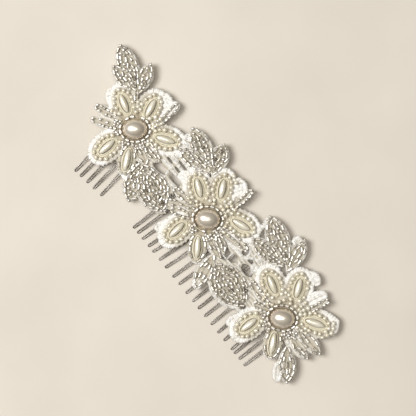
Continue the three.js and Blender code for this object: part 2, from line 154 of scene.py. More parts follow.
# Ovals of plain lace between the motifs, lobes at its edge, and the openings: centre, half sizes, turn.
WEBS = [
    (-23.5, 3, 13, 7.5, 4), (-21.5, -9.4, 10.5, 6.4, -18), (26.5, 3, 15.5, 7.6, -4),
    (27, -9.6, 13, 7.4, 6), (-10.6, -6.6, 5, 3, 20), (61, -4.2, 7, 3, -4),
    (-35.5, -4.6, 5.4, 4, 0), (9.8, -3.8, 6, 4, -14),
]
LOBES = [
    (-43, 15.4, 2.6, 3.6, 0), (-47.3, 15.6, 3.4, 2.6, 0), (-61.4, -0.8, 3.6, 2.4, -24),
    (-34, -15.2, 2.4, 1.8, -40),
    (-1.4, 17.2, 4.2, 3.2, -25), (29.6, 22.2, 2, 2.2, 0), (18.4, -20, 2.2, 2, 0),
    (52.6, 14.4, 2.8, 4.4, -12), (65.9, -16.0, 2.1, 4.6, 44),
]
# Satin that stands a little out from the petals' rims, drawn in the same way.
SATIN_LOBES = [
    (-8.2, -16.4, 3.6, 2.2, 70), (-4.6, -19.6, 2.6, 1.8, -20), (39.2, -17.2, 3.6, 2.4, 75),
    (45.2, -20.2, 3.0, 1.6, 5), (45.6, 18.2, 3.4, 2.4, 0), (-19.0, 2.8, 2.6, 1.8, 70),
    (-18.0, 7.4, 2.4, 1.8, 20),
    (61.5, 14.2, 4.2, 0.9, 19), (66.7, 12.8, 3.2, 0.9, -58),
]
# Plain cream lace at the end of the third flower's right petal.
CREAM_LOBES = [(64.6, 11.9, 3.8, 3.4, 0)]
# White satin-stitched cords between the motifs: start, a point on the way, end and half width.
CORDS = [
    ((-31.0, 14.5), (-28.2, 9.5), (-28.0, 3.2), 1.9),
    ((-15.6, 9.4), (-18.2, 5.0), (-16.4, 0.6), 2.0),
    ((-27.0, 6.6), (-22.5, 6.1), (-18.5, 6.4), 0.85),
    ((-27.0, 3.4), (-22.0, 3.5), (-18.0, 3.6), 0.7),
    ((-26.0, 0.9), (-22.0, 0.4), (-17.5, 0.9), 0.6),
    ((-24.8, 0.2), (-24.0, -2.0), (-23.0, -4.4), 0.45),
    ((-29.5, 0.4), (-27.0, 0.3), (-24.6, 0.8), 0.5),
    ((-29.5, 12.9), (-26.8, 13.6), (-24.5, 12.6), 0.5),
    ((-28.4, 9.8), (-26.4, 9.5), (-24.5, 10.2), 0.5),
    ((-23.0, -4.4), (-19.6, -3.5), (-15.8, -3.2), 0.45),
    ((-15.0, -9.4), (-13.2, -10.6), (-12.8, -13.2), 0.5),
    ((29.5, 8.5), (27.2, 4.5), (28.8, 0.2), 1.6),
    ((9.5, -0.6), (16.0, 0.6), (22.0, 1.0), 0.8),
    ((22.0, 1.0), (24.5, 4.2), (27.0, 4.6), 0.6),
    ((22.2, 0.6), (22.6, -1.8), (24.4, -3.6), 0.4),
    ((15.4, 3.6), (16.5, 5.6), (19.6, 5.6), 0.45),
    ((19.6, 5.6), (21.8, 4.4), (22.0, 1.6), 0.45),
    ((21.2, 6.9), (21.4, 5.8), (21.6, 4.8), 0.35),
    ((23.6, 7.0), (23.7, 6.0), (23.8, 5.0), 0.35),
    ((25.8, 7.0), (25.8, 6.0), (26.0, 5.2), 0.35),
    ((19.5, 6.9), (23.0, 7.2), (27.0, 6.8), 0.45),
    ((20.0, -14.6), (25.5, -17.6), (33.6, -16.0), 0.4),
    ((33.6, -15.8), (35.0, -13.8), (34.6, -12.0), 0.5),
    ((34.4, -12.6), (36.6, -13.6), (38.6, -12.0), 0.45),
    ((15.6, 10.2), (17.8, 8.4), (19.8, 6.4), 1.1),
    ((15.2, 19.6), (16.4, 16.0), (17.0, 12.6), 1.0),
    ((13.6, -1.2), (13.4, -3.0), (14.4, -4.4), 0.4),
    ((17.8, -0.8), (17.7, -2.6), (18.0, -4.2), 0.35),
    ((14.0, -4.7), (20.0, -4.4), (24.6, -3.7), 0.4),
    ((56.0, -5.4), (61.0, -5.9), (66.5, -5.4), 0.6),
    ((57.6, -1.5), (63.0, -1.3), (70.6, 0.2), 0.55),
]
HOLES = [
    (-27, -3, 3.2, 1.4, 12), (-20, -1.1, 3.3, 1.2, 0), (-27.2, 2.1, 1.6, 0.5, 0),
    (-22.3, 2.1, 1.6, 0.5, 0), (-22.3, 4.8, 2.5, 0.5, 0), (-27, 11.5, 1.5, 1, 0),
    (-17.6, -10.3, 1, 0.7, 0), (-15.2, -6.3, 1.3, 0.8, 0), (15.8, -2.5, 1.6, 1, 0),
    (19.5, -2, 1.7, 1.6, 0), (20.4, 3.2, 1.2, 1.5, 0), (24.4, 2.6, 1.6, 0.8, 0),
    (26.6, -0.8, 3, 1.7, 0), (19.5, 14.2, 1.3, 1.1, 0), (32.2, -6.5, 1.2, 0.8, 0),
    (36.3, -11.1, 1.7, 1.1, 0), (-11.4, -11.2, 1.4, 0.8, 10), (29.4, -10.2, 1.2, 0.7, 10),
]


def at(x, y):
    """A drawn place in the frame's millimetres."""
    return np.array([x, y]) + SHIFT


# The centre of each petal's long pearl and its heading, in degrees.
PETAL_PLACES = {
    (number, petal): (middle_mm(f"flower_{number}_long_pearl_{petal + 1}")[:2], heading)
    for number, petals in FLOWER_PETALS.items()
    for petal, (_, _, heading) in enumerate(petals)
}


def rotated(x, y, angle):
    """A point of a plane, turned about the origin by an angle in radians."""
    c, s = math.cos(angle), math.sin(angle)
    return x * c - y * s, x * s + y * c


def towards(heading):
    """The direction in plan of a heading in degrees."""
    return np.array([math.cos(math.radians(heading)), math.sin(math.radians(heading))])


# ------------------------------------------------------------------ meshes from many small pieces

def ovals(drawn):
    """The centre, half sizes and turn of each drawn oval."""
    for x, y, half_length, half_width, turn in drawn:
        yield at(x, y), (half_length, half_width), turn


class Heap:
    """Points and faces of many small shapes, gathered before they become one mesh."""

    def __init__(self):
        self.points, self.quads, self.tris, self.tones = [], [], [], []
        self.count = 0

    def add(self, points, quads, tris=(), tones=0.5):
        points = np.asarray(points, float).reshape(-1, 3)
        self.points.append(points)
        self.quads.append(np.asarray(quads, int).reshape(-1, 4) + self.count)
        self.tris.append(np.asarray(tris, int).reshape(-1, 3) + self.count)
        self.tones.append(np.broadcast_to(np.asarray(tones, float), len(points)))
        self.count += len(points)

    def put(self, shape, place, heading, tone=0.5, scale=1.0, tilt=0.0):
        """A copy of a shape, tilted nose up and then turned by its heading about Z, in degrees."""
        points, quads, tris, *shades = shape
        x, y, z = (points * scale).T
        x, z = rotated(x, z, math.radians(tilt))
        x, y = rotated(x, y, math.radians(heading))
        tones = tone * shades[0] if shades else tone
        self.add(np.column_stack([x, y, z]) + place, quads, tris, tones)

    def build(self, name, material, slot, replaced=()):
        """The mesh object, in metres, riding on the comb's one body."""
        points = np.concatenate(self.points) * MM
        quads = np.concatenate(self.quads)
        tris = np.concatenate(self.tris)
        mesh = bpy.data.meshes.new(name)
        mesh.vertices.add(len(points))
        mesh.vertices.foreach_set("co", points.ravel())
        mesh.loops.add(quads.size + tris.size)
        mesh.loops.foreach_set("vertex_index", np.concatenate([quads.ravel(), tris.ravel()]))
        mesh.polygons.add(len(quads) + len(tris))
        totals = np.concatenate([np.full(len(quads), 4), np.full(len(tris), 3)])
        mesh.polygons.foreach_set("loop_start", np.concatenate([[0], np.cumsum(totals)[:-1]]))
        mesh.polygons.foreach_set("use_smooth", np.full(len(totals), True))
        tone = mesh.attributes.new("tone", "FLOAT", "POINT")
        tone.data.foreach_set("value", np.concatenate(self.tones))
        mesh.update(calc_edges=True)
        mesh.validate()
        piece = bpy.data.objects.new(name, mesh)
        bpy.context.scene.collection.objects.link(piece)
        mesh.materials.append(material)
        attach(piece, "root")
        if replaced:
            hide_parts(*replaced)
        return piece


def skin(rings, sides, closed):
    """Quads between rings of points, and triangles to an end point past each open end."""
    quads = []
    for ring in range(rings if closed else rings - 1):
        here, after = ring * sides, (ring + 1) % rings * sides
        for side in range(sides):
            beside = (side + 1) % sides
            quads.append((here + side, here + beside, after + beside, after + side))
    tris = []
    if not closed:
        first, base = rings * sides, (rings - 1) * sides
        for side in range(sides):
            beside = (side + 1) % sides
            tris.append((first, beside, side))
            tris.append((first + 1, base + side, base + beside))
    return np.array(quads), np.array(tris, int).reshape(-1, 3)


def turned(profile, sides, closed=False):
    """A shape turned about X from (x, radius) pairs. An open profile starts and ends on the axis."""
    profile = np.asarray(profile, float)
    rings = profile if closed else profile[1:-1]
    angles = np.arange(sides) / sides * 2 * math.pi
    x = np.repeat(rings[:, 0], sides)
    radius = np.repeat(rings[:, 1], sides)
    around = np.tile(angles, len(rings))
    points = np.column_stack([x, radius * np.cos(around), radius * np.sin(around)])
    if not closed:
        points = np.vstack([points, [profile[0][0], 0, 0], [profile[-1][0], 0, 0]])
    quads, tris = skin(len(rings), sides, closed)
    return points, quads[:, ::-1], tris[:, ::-1]


def tube(path, radius, sides=8, closed=False):
    """A round tube along a path of points, with its ends capped."""
    path = np.asarray(path, float)
    if closed:
        ahead, behind = np.roll(path, -1, axis=0), np.roll(path, 1, axis=0)
        tangents = ahead - behind
    else:
        tangents = np.gradient(path, axis=0)
    tangents /= np.linalg.norm(tangents, axis=1)[:, None]
    up = np.array([0.0, 0.0, 1.0]) if abs(tangents[0][2]) < 0.9 else np.array([1.0, 0.0, 0.0])
    points = []
    radii = np.broadcast_to(radius, len(path))
    for place, tangent, size in zip(path, tangents, radii):
        side = np.cross(tangent, up)
        side /= np.linalg.norm(side)
        up = np.cross(side, tangent)
        for corner in range(sides):
            angle = corner / sides * 2 * math.pi
            points.append(place + size * (math.cos(angle) * side + math.sin(angle) * up))
    if not closed:
        points += [path[0], path[-1]]
    return np.array(points), *skin(len(path), sides, closed)


# ------------------------------------------------------------------ curves in plan, in millimetres

def oval_path(centre, oval, turn, start=-180.0, stop=180.0, steps=96):
    """Part of an ellipse. Angles are from the outer end of its long axis, in degrees."""
    angles = np.radians(np.linspace(start, stop, steps + 1))
    u, v = oval[0] * np.cos(angles), oval[1] * np.sin(angles)
    c, s = math.cos(math.radians(turn)), math.sin(math.radians(turn))
    return np.column_stack([centre[0] + u * c - v * s, centre[1] + u * s + v * c])


def three_point_path(places, steps=40):
    """A smooth arc through a start, a middle and an end."""
    first, second, third = (np.asarray(place, float) for place in places)
    control = 2 * second - (first + third) / 2
    t = np.linspace(0, 1, steps + 1)[:, None]
    return (1 - t) ** 2 * first + 2 * t * (1 - t) * control + t ** 2 * third


def lengths_along(path):
    return np.concatenate([[0], np.cumsum(np.hypot(*np.diff(path, axis=0).T))])


def points_at(path, distances):
    """The points at distances along a path."""
    lengths = lengths_along(path)
    return np.stack([np.interp(distances, lengths, path[:, axis]) for axis in (0, 1)], axis=-1)


def places_along(path, distances):
    """Places and headings, in degrees, at distances along a path."""
    reach = 0.2
    step = points_at(path, distances + reach) - points_at(path, distances - reach)
    return points_at(path, distances), np.degrees(np.arctan2(step[:, 1], step[:, 0]))


def evenly(path, pitch):
    """Evenly spaced distances along a path, about a pitch apart."""
    total = lengths_along(path)[-1]
    count = max(1, round(total / pitch))
    return (np.arange(count) + 0.5) * total / count


def smooth_step(value, low, high):
    t = np.clip((value - low) / (high - low), 0, 1)
    return t * t * (3 - 2 * t)


def raised(path, z):
    """A plan path at one height."""
    return np.column_stack([path, np.broadcast_to(z, len(path))])


# ------------------------------------------------------------------ materials

def node_material(name):
    """A new material, its node tree and its shader."""
    material = bpy.data.materials.new(name)
    material.use_nodes = True
    return material, material.node_tree, material.node_tree.nodes["Principled BSDF"]


def object_noise(tree, scale, detail):
    """Noise that is fixed to the object, at a scale in cycles per metre."""
    coordinates = tree.nodes.new("ShaderNodeTexCoord")
    noise = tree.nodes.new("ShaderNodeTexNoise")
    noise.inputs["Scale"].default_value = scale
    noise.inputs["Detail"].default_value = detail
    tree.links.new(coordinates.outputs["Object"], noise.inputs["Vector"])
    return noise.outputs["Fac"]


def ramp(tree, value, stops):
    """The colour that a value gives on a ramp of (position, colour) stops."""
    node = tree.nodes.new("ShaderNodeValToRGB")
    elements = node.color_ramp.elements
    while len(elements) < len(stops):
        elements.new(0.5)
    for element, (position, colour) in zip(elements, stops):
        element.position = position
        element.color = (*colour, 1)
    tree.links.new(value, node.inputs["Fac"])
    return node.outputs["Color"]


def tone_value(tree):
    """The brightness that each point of a mesh carries, from 0 to 1."""
    node = tree.nodes.new("ShaderNodeAttribute")
    node.attribute_name = "tone"
    return node.outputs["Fac"]


def set_surface(tree, shader, colour, bump, values):
    """Gives a shader its colour, its bumps (noise scale, detail, strength, depth) and its plain values."""
    tree.links.new(colour, shader.inputs["Base Color"])
    scale, detail, strength, depth = bump
    node = tree.nodes.new("ShaderNodeBump")
    node.inputs["Strength"].default_value = strength
    node.inputs["Distance"].default_value = depth
    tree.links.new(object_noise(tree, scale, detail), node.inputs["Height"])
    tree.links.new(node.outputs["Normal"], shader.inputs["Normal"])
    for name, value in values.items():
        shader.inputs[name].default_value = value


def cotton(name, shade, lit):
    """White cotton thread, dark at a low tone and bright at a high one: the raised stitches are bright, and
    the low tone in the lace's recesses is painted shade.
    """
    material, tree, shader = node_material(name)
    colour = ramp(tree, tone_value(tree), [(0.0, shade), (1.0, lit)])
    set_surface(tree, shader, colour, (5200, 2.0, 0.55, 0.00018), {
        "Roughness": 0.82, "Sheen Weight": 0.25, "Sheen Roughness": 0.5, "Specular IOR Level": 0.3})
    return material


def pearl(name, dark, light, rim, roughness, cloud_scale, lustre):
    """A pearl: a body colour that drifts between two tones, with painted shade that makes it browner low
    down, under a clear coat.
    """
    material, tree, shader = node_material(name)
    body = ramp(tree, object_noise(tree, cloud_scale, 2.0), [(0.3, dark), (0.7, light)])
    # Painted shade: where a point's tone is low, low on the pearl, the body is darkened towards the rim
    # colour.
    painted_low_shade = ramp(tree, tone_value(tree), [(0.0, rim), (1.0, (1, 1, 1))])
    tinted = tree.nodes.new("ShaderNodeVectorMath")
    tinted.operation = "MULTIPLY"
    tree.links.new(body, tinted.inputs[0])
    tree.links.new(painted_low_shade, tinted.inputs[1])
    set_surface(tree, shader, tinted.outputs["Vector"], (2600, 3.0, 0.08, 0.00005), {
        "Roughness": roughness, "Metallic": lustre, "Coat Weight": 1.0, "Coat Roughness": 0.15,
        "Coat IOR": 1.65, "Specular IOR Level": 0.8})
    return material


def silver_glass(name):
    """Silver-lined glass: pale and bright, each bead a little lighter or darker than the next."""
    material, tree, shader = node_material(name)
    colour = ramp(tree, tone_value(tree), [
        (0.0, (0.13, 0.10, 0.07)), (0.2, (0.70, 0.65, 0.57)), (1.0, (0.99, 0.97, 0.93))])
    set_surface(tree, shader, colour, (1400, 1.0, 0.25, 0.0002), {
        "Metallic": 0.58, "Roughness": 0.35, "Coat Weight": 1.0, "Coat Roughness": 0.14})
    return material


def silver_wire(name):
    """Silver-plated wire, dulled and a little brown where it has been handled."""
    material, tree, shader = node_material(name)
    colour = ramp(tree, object_noise(tree, 160, 2.0), [
        (0.35, (0.11, 0.095, 0.08)), (0.55, (0.20, 0.18, 0.16)), (0.75, (0.34, 0.32, 0.295))])
    set_surface(tree, shader, colour, (700, 2.0, 0.03, 0.00003), {"Metallic": 1.0, "Roughness": 0.26})
    return material


# The white cotton's darkest colour is painted shade where the lace's tone is low: in its recesses, under the
# centre pearls and on its underside.
WHITE_COTTON = cotton("white_cotton", (0.42, 0.36, 0.25), (0.99, 0.985, 0.97))
CREAM_COTTON = cotton("cream_cotton", (0.54, 0.47, 0.31), (0.97, 0.93, 0.78))
# The third colour of each pearl is its painted shade, taken low down where it meets the lace.
IVORY = pearl("ivory_pearl", (0.84, 0.78, 0.62), (0.98, 0.94, 0.82), (0.55, 0.46, 0.32),
              roughness=0.25, cloud_scale=260, lustre=0.15)
CHAMPAGNE = pearl("champagne_pearl", (0.84, 0.74, 0.62), (0.98, 0.90, 0.79), (0.52, 0.43, 0.33),
                  roughness=0.31, cloud_scale=120, lustre=0.6)
SILVER_GLASS = silver_glass("silver_lined_glass")
WIRE = silver_wire("silver_wire")


# ------------------------------------------------------------------ wire combs

WIRE_RADIUS = 0.3
DRAWN_WIRE_RADIUS = 0.22
SPINE_RADIUS = 0.6
HOOK_RADIUS = 1.0
SPINE_AXIS = middle_mm("long_comb_spine")[2]
TOOTH_HALF_GAP = 0.52
TIP_HALF_GAP = 0.40
# How far the binding thread stands off the spine, and its radius.
THREAD_GAP = 0.22
BINDING_RADIUS = 0.2


def tooth_leg(side, length):
    """One leg: from the end of its hook, over the spine and down to the tip's bend. The root is at y = 0."""
    path = []
    for angle in np.radians(np.linspace(-140, 90, 20)):
        height = SPINE_AXIS + HOOK_RADIUS * math.sin(angle)
        path.append((side * TOOTH_HALF_GAP, HOOK_RADIUS * math.cos(angle), height))
    top = SPINE_AXIS + HOOK_RADIUS
    for share in np.linspace(0.04, 0.96, 16):
        half_gap = TOOTH_HALF_GAP + (TIP_HALF_GAP - TOOTH_HALF_GAP) * share
        path.append((side * half_gap, -share * length, top - (top - WIRE_RADIUS) * share ** 2))
    return path


def tooth_path(length):
    """The whole hairpin of wire."""
    tip = []
    for angle in np.radians(np.linspace(0, 180, 11)):
        y = -length + WIRE_RADIUS + TIP_HALF_GAP * (1 - math.sin(angle))
        tip.append((TIP_HALF_GAP * math.cos(angle), y, WIRE_RADIUS))
    return np.array(tooth_leg(1, length) + tip + tooth_leg(-1, length)[::-1])


def make_tooth(node):
    """A smooth wire tooth in the place of its CAD node."""
    middle, axis, low, high = long_axis(node)
    if axis[1] < 0:
        axis, low, high = -axis, -high, -low
    root = middle + axis * (high - HOOK_RADIUS - WIRE_RADIUS)
    length = high - low - HOOK_RADIUS - WIRE_RADIUS
    path = tooth_path(length)
    across = np.array([axis[1], -axis[0]])
    placed = path[:, :1] * across + path[:, 1:2] * axis + root
    heap = Heap()
    heap.add(*tube(np.column_stack([placed, path[:, 2]]), DRAWN_WIRE_RADIUS, 10))
    heap.build(f"{node}_wire", WIRE, "silver_wire", replaced=[node])


def make_spine(node):
    """The bar that the teeth are hooked on, with rounded ends."""
    middle, axis, low, high = long_axis(node)
    half = (high - low) / 2
    profile = [(-half, 0)]
    for angle in np.radians(np.linspace(0, 90, 6)[1:]):
        profile.append((-half + 0.3 * (1 - math.cos(angle)), SPINE_RADIUS - 0.3 + 0.3 * math.sin(angle)))
    profile += [(-x, radius) for x, radius in reversed(profile)]
    heap = Heap()
    heading = math.degrees(math.atan2(axis[1], axis[0]))
    heap.put(turned(profile, 20), [*(middle + axis * (low + high) / 2), SPINE_AXIS], heading)
    heap.build(f"{node}_bar", WIRE, "silver_wire", replaced=[node])


def make_binding(spine):
    """White thread that is sewn round a spine and into the lace, between one tooth and the next."""
    comb = spine.removesuffix("_spine")
    middle, axis, _, _ = long_axis(spine)
    teeth = [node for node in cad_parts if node.startswith(f"{comb}_tooth")]
    roots = sorted(float((long_axis(tooth)[0] - middle) @ axis) for tooth in teeth)
    low, high = SPINE_AXIS - SPINE_RADIUS - THREAD_GAP, LACE_BOTTOM + 0.35
    side = np.array([-axis[1], axis[0]])
    heap = Heap()
    for first, second in zip(roots, roots[1:]):
        for turn in (-1, 1):
            along = (first + second) / 2 + turn * 0.3 + rng.uniform(-0.08, 0.08)
            loop = []
            for angle in np.radians(np.arange(0, 360, 20)):
                reach = (SPINE_RADIUS + THREAD_GAP) * math.cos(angle)
                place = middle + axis * (along + 0.2 * math.cos(angle)) + side * reach
                loop.append((*place, (low + high) / 2 + (high - low) / 2 * math.sin(angle)))
            heap.add(*tube(loop, BINDING_RADIUS, 8, closed=True), tones=rng.uniform(0.7, 1.0))
    return heap.build(f"{comb}_binding", WHITE_COTTON, "white_lace")


def make_wire_combs():
    for node in sorted(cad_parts):
        if "_tooth_" in node:
            make_tooth(node)
        elif node.endswith("_spine"):
            make_spine(node)
            make_binding(node)


# ------------------------------------------------------------------ beads and pearls

# How bright the ends of a glass bead are, and the range of brightness between beads. The dark ends are partly
# the glass's own unlined ends and partly painted shade and dark reflection at the bore and between beads.
END_SHADE = 0.03
GLASS_TONES = (0.12, 1.0)
DARKEST_RING_BUGLE = 0.4
THREAD_RADIUS = 0.11
SEED_THREAD_RADIUS = 0.12

# Strings round a petal stop this far from the flower's centre.
STRING_START = 7.3
# The pitch of seed pearls on a string, and the least room between their centres, on strings and between them.
SEED_PITCH = 2.1
STRUNG_SEED_ROOM = 1.5
SEED_ROOM = 1.54
# How far from a flower's centre single seeds and beads are sewn: from the first to one of the others.
NEAREST_LOOSE = 6.4
FURTHEST_SEED = 12.0
FURTHEST_ROCAILLE = 8.6
# How far from a flower's centre the rows of seeds between its petals lie.
SEED_LINKS = (7.4, 9.2, 11.0)
# A second string of seeds outside some petals' first: where it runs, in degrees round from the outer end.
OUTER_OVAL = (7.75, 5.4)
OUTER_SEEDS = {1: {}, 2: {1: (-70, -30)}, 3: {2: (-62, 34)}}

# How far strung glass beads stray in mm, and twist in degrees: tight ones, and what looseness adds.
STRAY = (0.05, 0.16)
TWIST = (4, 14)
SPRAY_HALF_WIDTH = 0.85
# The gap between the rows of beads in a leaf, and what its outline leaves free for the bead at its tip.
ROW_GAP = 1.42
TIP_BEAD_ROOM = 0.7
# The least room between glass beads: in flowers, in leaves, and for the single beads that fill leaves.
# It is less than the beads' width, so neighbours run into each other by up to 0.4 mm.
FLOWER_ROOM = 0.92
LEAF_ROOM = 0.95
FILL_ROOM = 1.2

def ball(radius, rings=9, sides=14, hole=0.12):
    """A pearl turned about X, with a dimple at each end where the thread goes in, and a tone that falls
    towards its underside as painted shade.
    """
    angles = np.radians(np.linspace(-90, 90, rings + 2))
    profile = [(radius * math.sin(a), radius * math.cos(a)) for a in angles[1:-1]]
    points, quads, tris = turned([(profile[0][0] + hole, 0), *profile, (profile[-1][0] - hole, 0)], sides)
    return points, quads, tris, smooth_step(points[:, 2], -0.9 * radius, 0.25 * radius)


def darker_ends(shape, bright_half):
    """A glass bead whose ends are dark, past half of its bright length from its middle: partly its own
    unlined glass, partly painted shade and dark reflection.
    """
    points, quads, tris = shape
    return points, quads, tris, np.where(np.abs(points[:, 0]) > bright_half, END_SHADE, 1.0)


def rocaille(radius, length, sides=12):
    """A round glass bead with a hole, turned about X."""
    hole = radius * 0.36
    thick = (radius - hole) / 2
    profile = []
    for step in range(14):
        angle = step / 14 * 2 * math.pi
        profile.append((length / 2 * math.sin(angle), hole + thick + thick * math.cos(angle)))
    return darker_ends(turned(profile, sides, closed=True), 0.43 * length)


def bugle(radius, length, sides=12):
    """A glass tube, turned about X, with rounded rims and an open bore."""
    half, rim = length / 2, radius * 0.3
    hole = radius * 0.45
    bright_half = 0.36 * length
    profile = []
    for angle in np.radians(np.linspace(180, 90, 4)):
        profile.append((rim - half + rim * math.cos(angle), radius - rim + rim * math.sin(angle)))
    profile += [(-bright_half, radius), (bright_half, radius)]
    for angle in np.radians(np.linspace(90, 0, 4)):
        profile.append((half - rim + rim * math.cos(angle), radius - rim + rim * math.sin(angle)))
    profile += [(half, hole), (half * 0.6, hole * 0.8), (-half * 0.6, hole * 0.8), (-half, hole)]
    return darker_ends(turned(profile, sides, closed=True), bright_half + 0.01)


SEED_PEARL = ball(0.89)
ROCAILLE = rocaille(0.66, 1.1)
SHORT_BUGLE = bugle(0.5, 1.5)
RING_BUGLE = bugle(0.58, 1.8)
LONG_BUGLE = bugle(0.48, 2.15)


def open_angle(reach, half_length, radius):
    """How far round from its outer end a petal's oval runs before it comes within a radius of the flower."""
    return math.degrees(math.acos(-min((reach - radius) / half_length, 0.95)))


def bead_oval(petal):
    """The half sizes of the oval of beads round a petal's long pearl."""
    return SLIM_OVAL if petal == SLIM_PETAL else SEED_OVAL


def lace_oval(petal):
    """The half sizes of a petal's lace."""
    return SLIM if petal == SLIM_PETAL else PETAL


def petal_string(number, petal):
    """The open oval that the beads round a petal's long pearl follow."""
    centre, heading = PETAL_PLACES[number, petal]
    oval = bead_oval(petal)
    opening = open_angle(FLOWER_PETALS[number][petal][1], oval[0], STRING_START)
    return oval_path(centre, oval, heading, -opening, opening)


def make_centre_pearl(number):
    """A flat-backed oval pearl, finely rounded."""
    low, high = box_mm(f"flower_{number}_centre_pearl")
    height = high[2] - low[2]
    profile = [(0.0, 0.0), (0.0, 0.9), (0.03, 0.965), (0.09, 1.0)]
    for angle in np.radians(np.linspace(0, 90, 22)[1:-1]):
        profile.append((0.09 + 0.91 * math.sin(angle), math.cos(angle)))
    profile.append((1.0, 0.0))
    points, quads, tris = turned(profile, 48)
    upright = np.column_stack([-points[:, 2], points[:, 1], points[:, 0]])
    heap = Heap()
    centre = CENTRES[number]
    # Painted shade: the pearl's tone falls towards its flat back, so that its rim is darker.
    shades = smooth_step(upright[:, 2], 0.1, 0.75)
    heap.put((upright, quads, tris, shades), [*centre, low[2]], PEARL_TURN[number], 1.0,
             [*CENTRE_PEARL, height])
    heap.build(f"flower_{number}_centre_pearl_cabochon", CHAMPAGNE, "champagne_pearl",
               replaced=[f"flower_{number}_centre_pearl"])


def pearl_half_length(node):
    _, _, low, high = long_axis(node)
    return (high - low) / 2


def make_long_pearl(number, petal):
    """A rice pearl, slightly uneven, with the thread's hole at each end."""
    node = f"flower_{number}_long_pearl_{petal + 1}"
    low, high = box_mm(node)
    centre, heading = PETAL_PLACES[number, petal]
    half, thick = pearl_half_length(node), (high[2] - low[2]) / 2
    profile = [(-half + 0.25, 0), (-half + 0.02, 0.16)]
    for angle in np.radians(np.linspace(-84, 84, 25)):
        profile.append((half * math.sin(angle), 0.93 * thick * math.cos(angle) ** 1.05))
    profile += [(half - 0.02, 0.16), (half - 0.25, 0)]
    points, quads, tris = turned(profile, 24)
    wobble = 1 + 0.03 * np.sin(points[:, 0] * 1.3 + petal) * np.cos(points[:, 1] * 2 + number)
    points[:, 1] *= np.minimum(wobble, 1.0)
    heap = Heap()
    # Painted shade: the pearl's tone falls on its lower half.
    shades = smooth_step(points[:, 2], -0.8 * thick, 0.35 * thick)
    heap.put((points, quads, tris, shades), [*centre, (low[2] + high[2]) / 2], heading, 1.0)
    heap.build(f"{node}_rice", IVORY, "ivory_pearl", replaced=[node])


def make_seed_pearls(number):
    """Seed pearls round the four wide petals and between them, and the thread they are on."""
    heap, thread, crowd = Heap(), Heap(), Crowd(STRUNG_SEED_ROOM)
    z = TRIM_BASE + 0.8
    paths = [petal_string(number, petal) for petal in (0, 1, 2, 4)]
    bearings = sorted(FLOWER_PETALS[number][petal][0] for petal in (0, 1, 2))
    for first, second in zip(bearings, bearings[1:]):
        for reach in SEED_LINKS:
            paths.append(oval_path(CENTRES[number], (reach, reach), 0, first + 12, second - 12, steps=23))
    for petal, (start, stop) in OUTER_SEEDS[number].items():
        centre, heading = PETAL_PLACES[number, petal]
        paths.append(oval_path(centre, OUTER_OVAL, heading, start, stop))
    for path in paths:
        distances = evenly(path, SEED_PITCH)
        distances = distances + rng.normal(0, 0.14, len(distances))
        for place, heading in zip(*places_along(path, distances)):
            place = place + rng.normal(0, 0.13, 2)
            if crowd.take(place, heading, 0.0):
                size = rng.uniform(0.84, 1.08)
                heap.put(SEED_PEARL, [*place, z + rng.uniform(-0.08, 0.12)], heading + rng.normal(0, 9),
                         rng.uniform(0.75, 1), size)
        thread.add(*tube(raised(path, z), SEED_THREAD_RADIUS, 6))
    crowd.room = SEED_ROOM
    for place in places_near_flower(number, bearings[0] - 30, bearings[-1] + 30, FURTHEST_SEED):
        if crowd.take(place, 0.0, 0.0):
            size = rng.uniform(0.85, 1.0)
            heap.put(SEED_PEARL, [*place, z + rng.uniform(-0.1, 0.1)], rng.uniform(0, 180),
                     rng.uniform(0.5, 1), size)
    heap.build(f"flower_{number}_seed_pearl_strings", IVORY, "ivory_pearl",
               replaced=[f"flower_{number}_seed_pearls"])
    thread.build(f"flower_{number}_seed_thread", CREAM_COTTON, "white_lace")


def places_near_flower(number, start, stop, furthest, tries=500):
    """Places at random between the ring of bugles and the petals, between two bearings in degrees."""
    for _ in range(tries):
        bearing, reach = math.radians(rng.uniform(start, stop)), rng.uniform(NEAREST_LOOSE, furthest)
        place = CENTRES[number] + reach * np.array([math.cos(bearing), math.sin(bearing)])
        if ring_depth(place, number) > -1.0:
            continue
        inside = [petal for petal in range(5) if petal_beads_depth(place, number, petal) > -0.8]
        if not inside:
            yield place


def petal_beads_depth(place, number, petal):
    """How far inside the oval of beads round a petal's long pearl a place is."""
    return oval_depth(*local(*place, *PETAL_PLACES[number, petal]), bead_oval(petal))


def ring_depth(place, number):
    """How far inside the ring of bugles round a flower's centre pearl a place is."""
    return oval_depth(*local(*place, CENTRES[number], PEARL_TURN[number]), BEAD_RING)


class Crowd:
    """The places that beads already fill, so that no two beads lie closer than a set room."""

    def __init__(self, room):
        self.room = room
        self.taken = np.empty((0, 2))

    def take(self, place, heading, half_length):
        """Fills the bead's place and says True, or says False where another bead is too close."""
        along = towards(heading) * half_length
        samples = np.array([place - along, place, place + along])
        if len(self.taken):
            gaps = np.linalg.norm(samples[:, None] - self.taken[None], axis=2)
            if gaps.min() < self.room:
                return False
        self.taken = np.vstack([self.taken, samples])
        return True


# Each kind of glass bead: its shape, its pitch along the thread and the half length that it needs.
GLASS = {
    "rocaille": (ROCAILLE, 1.42, 0.2),
    "short": (SHORT_BUGLE, 1.78, 0.42),
    "ring": (RING_BUGLE, 2.14, 0.6),
    "long": (LONG_BUGLE, 2.42, 0.72),
}


